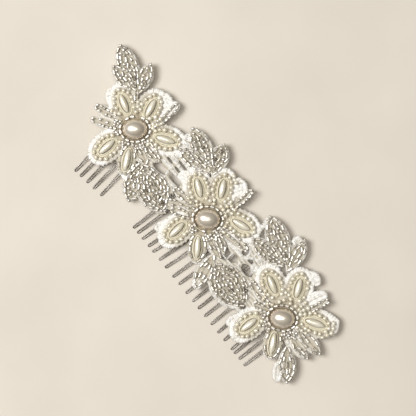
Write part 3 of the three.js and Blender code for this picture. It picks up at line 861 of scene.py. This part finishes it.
def glass_string(heap, thread, crowd, path, z, kinds, loose=0.0):
    """Glass beads on a thread along a path, in a repeating order of kinds. Loose beads stray from it."""
    total = lengths_along(path)[-1]
    turn = sum(GLASS[kind][1] for kind in kinds)
    stretch = total / turn / max(1, round(total / turn))
    distance, index = 0.0, 0
    while distance < total - 0.3:
        shape, pitch, half_length = GLASS[kinds[index % len(kinds)]]
        places, headings = places_along(path, np.array([distance + pitch * stretch / 2]))
        place = places[0] + rng.normal(0, STRAY[0] + STRAY[1] * loose, 2)
        heading = headings[0] + rng.normal(0, TWIST[0] + TWIST[1] * loose)
        if crowd.take(place, heading, half_length):
            lift = rng.uniform(-0.06, 0.1)
            darkest = DARKEST_RING_BUGLE if kinds == ["ring"] else GLASS_TONES[0]
            tone = rng.uniform(darkest, GLASS_TONES[1])
            heap.put(shape, [*place, z + lift], heading, tone, tilt=rng.normal(0, 4))
        distance += pitch * stretch
        index += 1
    thread.add(*tube(raised(path, z), THREAD_RADIUS, 6))


def make_silver_beads(number):
    """The bugle beads round the centre pearl and the slim petal, and the beaded sprays."""
    heap, thread, crowd = Heap(), Heap(), Crowd(FLOWER_ROOM)
    z = TRIM_BASE + 0.5
    ring = oval_path(CENTRES[number], BEAD_RING, PEARL_TURN[number])
    glass_string(heap, thread, crowd, ring, z + 0.15, ["ring"])
    glass_string(heap, thread, crowd, petal_string(number, SLIM_PETAL), z, ["long"])
    for spray in SPRAYS[number]:
        path = spray_loop([at(*place) for place in spray])
        glass_string(heap, thread, crowd, path, z + 0.1, ["rocaille", "short"])
    for place in places_near_flower(number, -150, 20, FURTHEST_ROCAILLE):
        if crowd.take(place, 0.0, 0.0):
            heap.put(ROCAILLE, [*place, z + rng.uniform(0.0, 0.1)], rng.uniform(0, 180),
                     rng.uniform(0.2, 1), tilt=rng.uniform(-40, 40))
    heap.build(f"flower_{number}_silver_bead_strings", SILVER_GLASS, "silver_bead",
               replaced=[f"flower_{number}_silver_beads"])
    thread.build(f"flower_{number}_silver_thread", CREAM_COTTON, "white_lace")


def spray_loop(places):
    """A narrow loop of beads that runs out along one side of a curve and back along the other."""
    spine = three_point_path(places)
    step = np.gradient(spine, axis=0)
    side = np.column_stack([-step[:, 1], step[:, 0]]) / np.hypot(*step.T)[:, None]
    share = np.linspace(0, 1, len(spine))[:, None]
    half = SPRAY_HALF_WIDTH * np.sqrt(np.clip(1 - (2 * share - 1) ** 8, 0, 1)) * (0.8 + 0.5 * share)
    return np.vstack([spine + side * half, (spine - side * half)[::-1]])


def leaf_half_width(share, width):
    """Half the width of a leaf at a share of its length from the stem: full, with a blunt tip."""
    return width / 2 * np.sin(math.pi * np.clip(share, 0, 1) ** 1.15) ** 0.62


def leaf_loop(stem, tip, width, inset):
    """The outline of a leaf, set in by a distance, from its stem round the tip and back."""
    along = tip - stem
    length = np.hypot(*along)
    along = along / length
    side = np.array([-along[1], along[0]])
    share = 0.5 - 0.5 * np.cos(np.linspace(0, math.pi, 40))
    reach = (inset + share * (length - 2 * inset))[:, None]
    half = leaf_half_width(share, width - 2 * inset)[:, None]
    left = stem + along * reach + side * half
    right = stem + along * reach - side * half
    return np.vstack([left, right[::-1][1:]])


def leaf_paths(stem, tip, width):
    """The loops of beads inside one another that fill a leaf."""
    paths = []
    inset = 0.0
    while width - 2 * inset > ROW_GAP:
        paths.append(leaf_loop(stem, tip, width, inset))
        inset += ROW_GAP
    if width - 2 * inset > -0.35 * ROW_GAP:
        along = (tip - stem) / np.hypot(*(tip - stem))
        paths.append(np.linspace(stem + along * inset, tip - along * inset, 20))
    return paths


def trimmed(path, length):
    """A path without the last stretch of it."""
    return path[lengths_along(path) < lengths_along(path)[-1] - length]


LEAF_KINDS = (["long"], ["short", "rocaille"], ["long"], ["short"])
# How far the beads of each cluster's outlines stray, and the width above which its leaves are filled.
OUTLINE_LOOSENESS = {1: 0.5, 2: 0.5, 3: 0.5, 4: 0.2, 5: 0.3, 6: 0.2}
NARROW_LEAF = {1: 4.0, 2: 4.5, 3: 4.5, 4: 5.7, 5: 5.7, 6: 5.7}
STEMS = {1: [[(-60.0, 10.2), (-56.6, 7.4), (-53.0, 4.2)], [(-58.6, 10.6), (-55.6, 8.0), (-53.6, 5.8)]]}


def make_leaf_beads(cluster):
    """One cluster of beaded leaves: outlines, rows inside them, and single beads in the gaps."""
    heap, thread, crowd = Heap(), Heap(), Crowd(LEAF_ROOM)
    z = TRIM_BASE + 0.5
    leaves = [(at(*stem), at(*tip), width) for number, stem, tip, width in LEAVES if number == cluster]
    for stem, tip, width in leaves:
        outline, *rows = leaf_paths(stem, tip, width)
        heap.put(ROCAILLE, [*tip, z + 0.1], rng.uniform(0, 180), rng.uniform(0.3, 1), tilt=30)
        crowd.take(tip, 0.0, 0.0)
        half = len(outline) // 2 + 1
        for side in (outline[:half], outline[half - 1:][::-1]):
            glass_string(heap, thread, crowd, trimmed(side, TIP_BEAD_ROOM), z + 0.05, LEAF_KINDS[0],
                         OUTLINE_LOOSENESS[cluster])
        for index, path in enumerate(rows):
            full = width > NARROW_LEAF[cluster]
            kinds = LEAF_KINDS[1 + index % 3] if full else LEAF_KINDS[0]
            glass_string(heap, thread, crowd, path, z + 0.1 * index, kinds, 0.8 if full else 0.4)
    for places in STEMS.get(cluster, []):
        path = three_point_path([at(*place) for place in places])
        glass_string(heap, thread, crowd, path, z + 0.1, LEAF_KINDS[0], 0.2)
    crowd.room = FILL_ROOM
    for stem, tip, width in leaves:
        if width > NARROW_LEAF[cluster]:
            fill_leaf(heap, crowd, stem, tip, width, z)
    heap.build(f"leaf_beads_{cluster}_strings", SILVER_GLASS, "silver_bead",
               replaced=[f"leaf_beads_{cluster}"])
    thread.build(f"leaf_beads_{cluster}_thread", CREAM_COTTON, "white_lace")


def fill_leaf(heap, crowd, stem, tip, width, z):
    """Single round beads, sewn wherever a leaf still has room for one."""
    along = tip - stem
    side = np.array([-along[1], along[0]]) / np.hypot(*along)
    for _ in range(round(14 * width * np.hypot(*along))):
        share = rng.uniform(0.04, 0.96)
        half = leaf_half_width(share, width)
        place = stem + along * share + side * rng.uniform(-half, half)
        if crowd.take(place, 0.0, 0.0):
            size = rng.uniform(0.92, 1.12)
            heap.put(ROCAILLE, [*place, z + rng.uniform(0.0, 0.2)], rng.uniform(0, 180),
                     rng.uniform(0, 1), tilt=rng.uniform(-50, 50), scale=size)


# ------------------------------------------------------------------ lace

# The lace's grid, the height of plain lace above its back, and how wide its rounded edge is.
GRID = 0.2
SHEET = 0.5
EDGE_WIDTH = 0.45


def local(x, y, centre, turn):
    """Coordinates along and across a turned motif."""
    return rotated(x - centre[0], y - centre[1], -math.radians(turn))


def oval_depth(u, v, oval):
    """How far inside an ellipse each point is; negative outside."""
    near = np.hypot(u / oval[0], v / oval[1])
    slope = np.hypot(u / oval[0] ** 2, v / oval[1] ** 2)
    return near * (1 - near) / np.maximum(slope, 1e-6)


def leaf_depth(u, v, length, width):
    """How far inside a pointed leaf from (0, 0) to (length, 0) each point is."""
    radius = (length ** 2 / 4 + width ** 2 / 4) / width
    offset = radius - width / 2
    upper = radius - np.hypot(u - length / 2, v + offset)
    lower = radius - np.hypot(u - length / 2, v - offset)
    return np.minimum(upper, lower)


def ridge(value, middle, half_width):
    return np.exp(-((value - middle) / half_width) ** 2)


class LaceDrawing:
    """The lace as a map of how far inside its edge each grid point is, how high, and how bright. The
    brightness is partly the threads' own white and cream and partly painted shade, lower where the lace lies
    low among raised parts.
    """

    def __init__(self):
        low, high = box_mm("lace_applique")
        xs = np.arange(low[0] - 1, high[0] + 1, GRID)
        ys = np.arange(low[1] - 1, high[1] + 1, GRID)
        self.x, self.y = np.meshgrid(xs, ys, indexing="ij")
        self.depth = np.full(self.x.shape, -9.0)
        self.height = np.full(self.x.shape, SHEET)
        self.bright = np.full(self.x.shape, 0.6)

    def lay(self, depth, height, bright):
        """Lays a motif: its pattern shows wherever a point is inside it."""
        shows = depth > 0
        self.height = np.where(shows, height, self.height)
        self.bright = np.where(shows, bright, self.bright)
        self.depth = np.maximum(self.depth, depth)

    def local(self, centre, turn):
        """Every grid point's coordinates along and across a turned motif."""
        return local(self.x, self.y, centre, turn)

    def cut(self, depth):
        self.depth = np.minimum(self.depth, -depth)


def lay_web(drawing, centre, oval, turn):
    u, v = drawing.local(centre, turn)
    depth = oval_depth(u, v, oval)
    cords = 0.5 + 0.5 * np.cos(v * 2 * math.pi / 1.5 + 0.4 * np.sin(u * 1.1))
    height = 0.42 + 0.3 * cords + 0.25 * ridge(depth, 0.6, 0.45)
    # Painted shade: the lace is darker down between its raised cords and lighter on them.
    drawing.lay(depth, height, 0.15 + 0.45 * cords)


def lay_leaf(drawing, start, tip, width):
    start, tip = at(*start), at(*tip)
    along = tip - start
    length = np.hypot(*along)
    u, v = drawing.local(start, math.degrees(math.atan2(along[1], along[0])))
    margin = 0.9
    depth = leaf_depth(u + margin, v, length + 2 * margin, width + 2 * margin)
    edge = ridge(depth, 0.5, 0.4)
    height = 0.4 + 0.35 * edge + 0.05 * np.cos(u * 2 * math.pi / 0.9)
    # Painted shade: the bed under the leaf's beads is darker than its raised edge.
    drawing.lay(depth, height, 0.28 + 0.46 * edge)


def lay_petal(drawing, number, petal):
    """A petal: a bright stitched band beyond the beads, and a darker bed under them and near the flower,
    partly the lace's own cream and partly painted shade among the beads.
    """
    centre, heading = PETAL_PLACES[number, petal]
    oval, seeds = lace_oval(petal), bead_oval(petal)
    u, v = drawing.local(centre, heading)
    around = np.arctan2(v / oval[1], u / oval[0])
    first, last = SATIN_SIDES[number][petal]
    bearing = np.degrees(around)
    outward = smooth_step(bearing, first - 15, first + 5) - smooth_step(bearing, last - 5, last + 15)
    scallops = round(2 * math.pi * math.sqrt((oval[0] ** 2 + oval[1] ** 2) / 2) / 1.9)
    depth = oval_depth(u, v, oval) + 0.22 * np.cos(around * scallops) - 0.06
    bed = oval_depth(u, v, seeds)
    band = smooth_step(-bed, 0.5, 1.2)
    ribs = 0.5 + 0.5 * np.cos(around * scallops * 2)
    rings = ridge(bed, 1.35, 0.35)
    height = 0.48 + 0.1 * rings + band * (0.28 + 0.2 * ribs)
    # The satin band's white is the thread's own; the darker bed among the beads is partly painted shade.
    bright = 0.3 + 0.15 * rings + band * (0.12 + outward * (0.4 + 0.2 * ribs))
    drawing.lay(depth, height, bright)


def draw_lace():
    """The whole applique, webs first, then leaves, lobes and petals, then the openings."""
    drawing = LaceDrawing()
    for web in ovals(WEBS):
        lay_web(drawing, *web)
    for number, centre in CENTRES.items():
        # The round bed under each flower is darker than plain lace, partly painted shade among its beads.
        depth = FLOWER_BED_RADIUS - np.hypot(*drawing.local(centre, 0))
        drawing.lay(depth, np.full(depth.shape, 0.5), np.full(depth.shape, 0.3))
        for spray in SPRAYS[number]:
            lay_leaf(drawing, spray[0], spray[2], SPRAY_BED_WIDTH)
    for _, stem, tip, width in LEAVES:
        lay_leaf(drawing, stem, tip, width)
    for lobes, bright in ((CREAM_LOBES, 0.35), (LOBES + SATIN_LOBES, 0.9)):
        for centre, oval, turn in ovals(lobes):
            u, v = drawing.local(centre, turn)
            depth = oval_depth(u, v, oval) + 0.12 * np.cos(6 * np.arctan2(v, u))
            drawing.lay(depth, 0.6 + 0.35 * ridge(depth, 0.7, 0.5), bright + 0 * depth)
    for number, petal in PETAL_PLACES:
        lay_petal(drawing, number, petal)
    # Painted shade: the lace under each centre pearl is made dark, and all lace near a flower's middle is
    # made darker.
    for number, centre in CENTRES.items():
        under_pearl = oval_depth(*drawing.local(centre, PEARL_TURN[number]), CENTRE_PEARL_SHADE) > 0
        drawing.bright = np.where(under_pearl, 0.0, drawing.bright)
        near = np.hypot(drawing.x - centre[0], drawing.y - centre[1])
        drawing.bright = drawing.bright * (0.35 + 0.65 * smooth_step(near, 6.5, 9.5))
    for centre, oval, turn in ovals(HOLES):
        drawing.cut(oval_depth(*drawing.local(centre, turn), oval))
    return drawing


def thread_texture(x, y):
    """Fine ripples of the stitches, in millimetres of height."""
    weave = np.sin(x * 9.1 + 1.3 * np.sin(y * 2.1)) * np.sin(y * 8.3 + 1.1 * np.sin(x * 1.7))
    return 0.035 * weave


def make_lace():
    """A closed sheet whose top follows the drawing and whose edge follows its outline."""
    drawing = draw_lace()
    depth = drawing.depth
    inside = depth > 0
    cells = inside[:-1, :-1] & inside[1:, :-1] & inside[:-1, 1:] & inside[1:, 1:]
    slope_x, slope_y = np.gradient(depth, GRID)
    steep = np.maximum(np.hypot(slope_x, slope_y), 0.5)

    used = np.zeros(depth.shape, bool)
    whole = np.ones(depth.shape, bool)
    for dx in (0, 1):
        for dy in (0, 1):
            used[dx:depth.shape[0] - 1 + dx, dy:depth.shape[1] - 1 + dy] |= cells
            whole[dx:depth.shape[0] - 1 + dx, dy:depth.shape[1] - 1 + dy] &= cells
    rim = used & ~whole
    pull = np.where(rim, np.minimum(depth / steep, 1.6 * GRID), 0)
    x = drawing.x - slope_x / steep * pull
    y = drawing.y - slope_y / steep * pull

    edge = np.clip(depth / EDGE_WIDTH, 0, 1)
    rounding = np.where(rim, 0.25, 0.3 + 0.7 * np.sqrt(1 - (1 - edge) ** 2))
    top = LACE_BOTTOM + 0.1 + (drawing.height + thread_texture(x, y) - 0.1) * rounding
    bottom = LACE_BOTTOM + 0.08 * (1 - rounding) + 0.04 + thread_texture(y, x)

    index = np.full(depth.shape, -1)
    index[used] = np.arange(used.sum())
    corners = [index[:-1, :-1][cells], index[1:, :-1][cells], index[1:, 1:][cells], index[:-1, 1:][cells]]
    upper = np.column_stack(corners)
    total = used.sum()
    lower = upper[:, ::-1] + total
    walls = rim_walls(upper, total)

    points = np.vstack([
        np.column_stack([x[used], y[used], top[used]]),
        np.column_stack([x[used], y[used], bottom[used]]),
    ])
    # Painted shade: the lace's underside takes a darker tone than its top.
    bright = np.concatenate([drawing.bright[used], 0.3 * drawing.bright[used] + 0.2])
    heap = Heap()
    heap.add(points, np.vstack([upper, lower, walls]), tones=np.clip(bright, 0, 1))
    return heap.build("lace_applique_cloth", WHITE_COTTON, "white_lace", replaced=["lace_applique"])


def rim_walls(upper, total):
    """Quads that join the top's open edges to the bottom's."""
    edges = np.vstack([upper[:, [0, 1]], upper[:, [1, 2]], upper[:, [2, 3]], upper[:, [3, 0]]])
    keys = edges[:, 0] * (total + 1) + edges[:, 1]
    twins = edges[:, 1] * (total + 1) + edges[:, 0]
    single = edges[~np.isin(keys, twins)]
    return np.column_stack([single[:, 1], single[:, 0], single[:, 0] + total, single[:, 1] + total])


# ------------------------------------------------------------------ satin stitches and cords

def stitch_shape():
    """A padded stitch a millimetre long, arched, with pointed ends that go down into the lace."""
    places = np.linspace(-0.5, 0.5, 7)
    arch = 0.34 * (1 - (2 * places) ** 2)
    path = np.column_stack([places, 0 * places, arch - 0.12])
    return tube(path, 0.05 + 0.15 * np.sqrt(1 - (1.9 * places) ** 2), 6)


STITCH = stitch_shape()
STITCH_PITCH = 0.42
SCALLOP_PITCH = 2.1
BACK_PITCH = 2.0
STITCH_BASE = LACE_BOTTOM + 0.5
LONGEST_STITCH = 2.6
# How far satin stitches keep from beads and from leaves, and how far off a petal may still be in their way.
BEAD_CLEARANCE = 0.6
LEAF_CLEARANCE = 0.2
NEIGHBOUR_REACH = 9
# The gap between a petal's beads and its satin.
SATIN_GAP = 0.95
SLIM_SATIN_GAP = 0.55
# The cords round a long pearl: how far past its ends, and their half width.
SLIM_CORD = (0.45, 1.72)
WIDE_CORD = (0.5, 1.85)
OUTER_CORD = (1.1, 2.5)
# The stitches inside a wide petal run from one oval to the other.
FILL_INNER = (4.6, 2.1)
FILL_OUTER = (5.75, 3.5)
FILL_PITCH = 0.62


def add_stitch(heap, start, end, tone, rise=1.0):
    """One padded stitch between two places on the lace, broken in two where it would be too long."""
    span = end - start
    length = np.hypot(*span)
    if length < 0.35:
        return
    if length > LONGEST_STITCH:
        middle = start + span * rng.uniform(0.42, 0.58)
        add_stitch(heap, start, middle, tone, rise)
        add_stitch(heap, middle, end, tone, rise)
        return
    heading = math.degrees(math.atan2(span[1], span[0])) + rng.normal(0, 6)
    place = [*(start + end) / 2, STITCH_BASE + rng.uniform(-0.12, 0.14)]
    height = rise * min(1.0, 0.55 + 0.2 * length)
    heap.put(STITCH, place, heading, tone, [length * 1.12, 1.0, height * 1.2])


def satin_cord(heap, path, half_width, tone=1.0):
    """Satin stitches side by side across a path. The half width may change along it."""
    for place, heading, half in across(path, half_width):
        reach = towards(heading + 90) * (half + rng.uniform(-0.08, 0.08))
        add_stitch(heap, place - reach, place + reach, tone * white_tone())


def across(path, half_width):
    """Places along a path a stitch apart, with the heading and half width at each."""
    distances = evenly(path, STITCH_PITCH)
    places, headings = places_along(path, distances)
    shares = distances / lengths_along(path)[-1]
    taper = np.sqrt(np.clip(1 - np.abs(2 * shares - 1) ** 6, 0.1, 1))
    return zip(places, headings, half_width * taper)


def satin_petal(heap, number, petal):
    """The bright stitched band round a petal, from its beads to its scalloped edge."""
    centre, heading = PETAL_PLACES[number, petal]
    oval, beads = lace_oval(petal), bead_oval(petal)
    clear = SLIM_SATIN_GAP if petal == SLIM_PETAL else SATIN_GAP
    first, last = SATIN_SIDES[number][petal]
    inner = oval_path(centre, (beads[0] + clear, beads[1] + clear), heading, steps=360)
    outer = oval_path(centre, oval, heading, steps=360)
    lengths = lengths_along(outer)
    scallop = lengths[-1] / round(lengths[-1] / SCALLOP_PITCH)
    for distance in evenly(outer, STITCH_PITCH):
        start = place_at_share(inner, distance / lengths[-1])
        end = place_at_share(outer, distance / lengths[-1])
        wave = 0.28 * abs(math.sin(math.pi * distance / scallop)) - 0.06
        out = (end - start) / np.hypot(*(end - start))
        end = end + out * (wave + rng.uniform(-0.24, 0.14))
        start = start + out * rng.uniform(-0.15, 0.2)
        if max(others_depth(start, number, petal), others_depth(end, number, petal)) > 0:
            continue
        if beside_petal(end, number, petal):
            continue
        angle = rim_angle(outer, distance / lengths[-1])
        if not first < angle < last:
            if rng.random() < 0.6:
                add_stitch(heap, start, start + 0.7 * (end - start), rng.uniform(0.2, 0.6), 0.7)
            continue
        add_stitch(heap, start, end, white_tone())


def beside_petal(place, number, petal):
    """Whether a place is well inside another petal of the same flower."""
    others = [other for other in range(5) if other != petal]
    return any(oval_depth(*local(*place, *PETAL_PLACES[number, other]), lace_oval(other)) > 0.4
               for other in others)


def rim_angle(outer, share):
    """How far round from the outer end of a petal a share of its rim's length is, in degrees."""
    lengths = lengths_along(outer)
    return float(np.interp(share * lengths[-1], lengths, np.linspace(-180, 180, len(lengths))))


def white_tone():
    """Mostly bright thread, with a darker one here and there."""
    return np.clip(1.0 - abs(rng.normal(0, 0.12)) - (rng.random() < 0.16) * 0.45, 0, 1)


def place_at_share(path, share):
    """The point at a share of a path's length."""
    return points_at(path, share * lengths_along(path)[-1])


def others_depth(place, number, petal):
    """How far inside another motif's beads a place is; negative where it is clear of them all."""
    deepest = ring_depth(place, number) + BEAD_CLEARANCE
    for other, (centre, _) in PETAL_PLACES.items():
        if other != (number, petal) and np.hypot(*(centre - place)) <= NEIGHBOUR_REACH:
            deepest = max(deepest, petal_beads_depth(place, *other) + BEAD_CLEARANCE)
    for _, stem, tip, width in LEAVES:
        deepest = max(deepest, leaf_inside(place, at(*stem), at(*tip), width) + LEAF_CLEARANCE)
    return deepest


def leaf_inside(place, stem, tip, width):
    """Roughly how far inside a leaf's outer beads a place is."""
    along = tip - stem
    length = np.hypot(*along)
    u, v = local(*place, stem, math.degrees(math.atan2(along[1], along[0])))
    if not 0 < u < length:
        return -9.0
    return float(leaf_half_width(u / length, width) - abs(v))


def satin_lobe(heap, centre, oval, turn):
    """A lobe of plain satin stitch, worked across its width."""
    half_length, half_width = oval
    for u in np.arange(-half_length + 0.2, half_length, STITCH_PITCH):
        half = half_width * math.sqrt(max(1 - (u / half_length) ** 2, 0)) + rng.uniform(-0.1, 0.14)
        start, end = (centre + rotated(u, v, math.radians(turn)) for v in (-half, half))
        add_stitch(heap, start, end, white_tone())


def make_satin():
    """All the white satin stitch of the applique."""
    heap = Heap()
    for number, petal in PETAL_PLACES:
        satin_petal(heap, number, petal)
    for lobe in ovals(LOBES + SATIN_LOBES):
        satin_lobe(heap, *lobe)
    for *places, half_width in CORDS:
        satin_cord(heap, three_point_path([at(*place) for place in places]), half_width)
    for _, stem, tip, width in LEAVES:
        satin_cord(heap, leaf_loop(at(*stem), at(*tip), width + 1.5, 0.0), 0.42, 0.75)
    return heap.build("lace_satin_stitches", WHITE_COTTON, "white_lace")


def twisted_cord(heap, path, z, radius, pitch, tone):
    """A two-ply cord along a closed plan path."""
    lengths = lengths_along(path)
    turns = max(1, round(lengths[-1] / pitch))
    shares = np.linspace(0, 1, turns * 8, endpoint=False)
    places = points_at(path, shares * lengths[-1])
    step = np.roll(places, -1, axis=0) - np.roll(places, 1, axis=0)
    side = np.column_stack([-step[:, 1], step[:, 0]]) / np.hypot(*step.T)[:, None]
    for ply in (0, math.pi):
        angle = shares * turns * 2 * math.pi + ply
        plan = places + side * (radius * np.cos(angle))[:, None]
        strand = np.column_stack([plan, z + radius * np.sin(angle)])
        heap.add(*tube(strand, radius * 0.95, 6, closed=True), tones=tone)


def make_cords():
    """The cream cords round the long pearls, and the stitches inside the petals."""
    heap = Heap()
    for (number, petal), (centre, heading) in PETAL_PLACES.items():
        slim = petal == SLIM_PETAL
        half = pearl_half_length(f"flower_{number}_long_pearl_{petal + 1}")
        past, half_width = SLIM_CORD if slim else WIDE_CORD
        inner = (half + past, half_width)
        twisted_cord(heap, oval_path(centre, inner, heading), TRIM_BASE + 0.3, 0.19, 0.95, 0.72)
        if not slim:
            outer = oval_path(centre, (half + OUTER_CORD[0], OUTER_CORD[1]), heading)
            twisted_cord(heap, outer, TRIM_BASE + 0.15, 0.16, 0.8, 0.75)
            fill_petal(heap, centre, heading)
    return heap.build("petal_cords", CREAM_COTTON, "white_lace")


def make_back_threads():
    """The running stitches on the underside, that hold the strings of beads."""
    heap = Heap()
    z = LACE_BOTTOM - 0.02
    for number in FLOWER_PETALS:
        back_stitches(heap, oval_path(CENTRES[number], BEAD_RING, PEARL_TURN[number]), z)
        for petal in range(5):
            centre, heading = PETAL_PLACES[number, petal]
            back_stitches(heap, oval_path(centre, bead_oval(petal), heading), z)
    for _, stem, tip, width in LEAVES:
        for path in leaf_paths(at(*stem), at(*tip), width):
            back_stitches(heap, path, z)
    return heap.build("lace_back_threads", WHITE_COTTON, "white_lace")


def back_stitches(heap, path, z):
    """Short flat stitches end to end along a path, each a little askew."""
    for place, heading in zip(*places_along(path, evenly(path, BACK_PITCH))):
        reach = towards(heading + rng.normal(0, 12)) * rng.uniform(0.7, 0.95)
        line = np.array([place - reach, place, place + reach])
        path_3d = np.column_stack([line, [z + 0.12, z, z + 0.12]])
        heap.add(*tube(path_3d, THREAD_RADIUS, 6), tones=rng.uniform(0.6, 1.0))


def fill_petal(heap, centre, heading):
    """Short cream stitches between a long pearl's cord and the seed pearls."""
    inner = oval_path(centre, FILL_INNER, heading, steps=200)
    outer = oval_path(centre, FILL_OUTER, heading, steps=200)
    total = lengths_along(outer)[-1]
    for distance in evenly(outer, FILL_PITCH):
        start = place_at_share(inner, distance / total)
        end = place_at_share(outer, distance / total)
        add_stitch(heap, start, end, np.clip(0.55 + rng.normal(0, 0.2), 0, 1), 0.8)


# ------------------------------------------------------------------ stage, light and camera

VIEW_TURN = 51.9
VIEW_WIDTH = 0.1664
VIEW_DISTANCE = 0.62
VIEW_TARGET = (-0.0007, 0.0050, 0.004)


def make_floor():
    """A plain pale tabletop."""
    mesh = bpy.data.meshes.new("table_top")
    half = 1.2
    corners = [(-half, -half, 0), (half, -half, 0), (half, half, 0), (-half, half, 0)]
    mesh.from_pydata(corners, [], [(0, 1, 2, 3)])
    floor = bpy.data.objects.new("table_top", mesh)
    bpy.context.scene.collection.objects.link(floor)
    material, tree, shader = node_material("pale_cloth")
    colour = ramp(tree, object_noise(tree, 16, 3.0), [(0.3, (0.70, 0.65, 0.58)), (0.7, (0.77, 0.72, 0.65))])
    tree.links.new(colour, shader.inputs["Base Color"])
    shader.inputs["Roughness"].default_value = 0.9
    mesh.materials.append(material)


def add_light(name, place, sizes, power, colour):
    """A soft rectangular light that faces the comb, its long side across the view."""
    light = bpy.data.lights.new(name, "AREA")
    light.shape = "RECTANGLE"
    light.size, light.size_y = sizes
    light.energy = power
    light.color = colour
    lamp = bpy.data.objects.new(name, light)
    lamp.location = place
    lamp.rotation_euler = look_rotation(np.array(VIEW_TARGET) - np.array(place))
    bpy.context.scene.collection.objects.link(lamp)


def look_rotation(direction):
    """Turns an object's -Z to a direction, with its X level across the view as far as it can be."""
    back = -Vector(direction).normalized()
    across = Vector((*towards(VIEW_TURN), 0))
    up = back.cross(across).normalized()
    return Matrix([up.cross(back), up, back]).transposed().to_euler()


def in_view(right, up, height):
    """A place given as seen from the camera: right, up the view, and towards the camera."""
    x, y = rotated(right, up, math.radians(VIEW_TURN))
    return (VIEW_TARGET[0] + x, VIEW_TARGET[1] + y, height)


def make_lights():
    """A window at the left of the view, a ceiling panel, and a studio that is darker low down."""
    add_light("window", in_view(-0.74, 0.16, 1.13), (0.62, 0.62), 15.6, (1.0, 0.991, 0.977))
    add_light("ceiling", in_view(-0.06, 0.02, 1.50), (0.66, 0.40), 6.2, (1.0, 0.972, 0.925))
    world = bpy.data.worlds.new("studio")
    world.use_nodes = True
    tree = world.node_tree
    coordinates = tree.nodes.new("ShaderNodeTexCoord")
    split = tree.nodes.new("ShaderNodeSeparateXYZ")
    tree.links.new(coordinates.outputs["Generated"], split.inputs["Vector"])
    shade = ramp(tree, split.outputs["Z"], [
        (0.0, (0.05, 0.042, 0.030)), (0.35, (0.06, 0.051, 0.037)), (0.8, (0.19, 0.176, 0.144))])
    tree.links.new(shade, tree.nodes["Background"].inputs["Color"])
    bpy.context.scene.world = world


def make_camera():
    """A camera that looks straight down, turned so that the comb crosses the view slantwise."""
    camera = bpy.data.cameras.new("camera")
    camera.sensor_width = 36
    camera.lens = camera.sensor_width * VIEW_DISTANCE / VIEW_WIDTH
    camera.clip_start = 0.01
    viewer = bpy.data.objects.new("camera", camera)
    viewer.location = (VIEW_TARGET[0], VIEW_TARGET[1], VIEW_TARGET[2] + VIEW_DISTANCE)
    viewer.rotation_euler = (0, 0, math.radians(VIEW_TURN))
    bpy.context.scene.collection.objects.link(viewer)
    bpy.context.scene.camera = viewer


# ------------------------------------------------------------------ the comb

bpy.context.scene.view_settings.view_transform = "Standard"
make_camera()
make_floor()
make_lights()
make_wire_combs()
lace = make_lace()
satin = make_satin()
cords = make_cords()
back_threads = make_back_threads()
for flower in FLOWER_PETALS:
    make_centre_pearl(flower)
    for petal_number in range(5):
        make_long_pearl(flower, petal_number)
    make_seed_pearls(flower)
    make_silver_beads(flower)
for cluster_number in range(1, 7):
    make_leaf_beads(cluster_number)
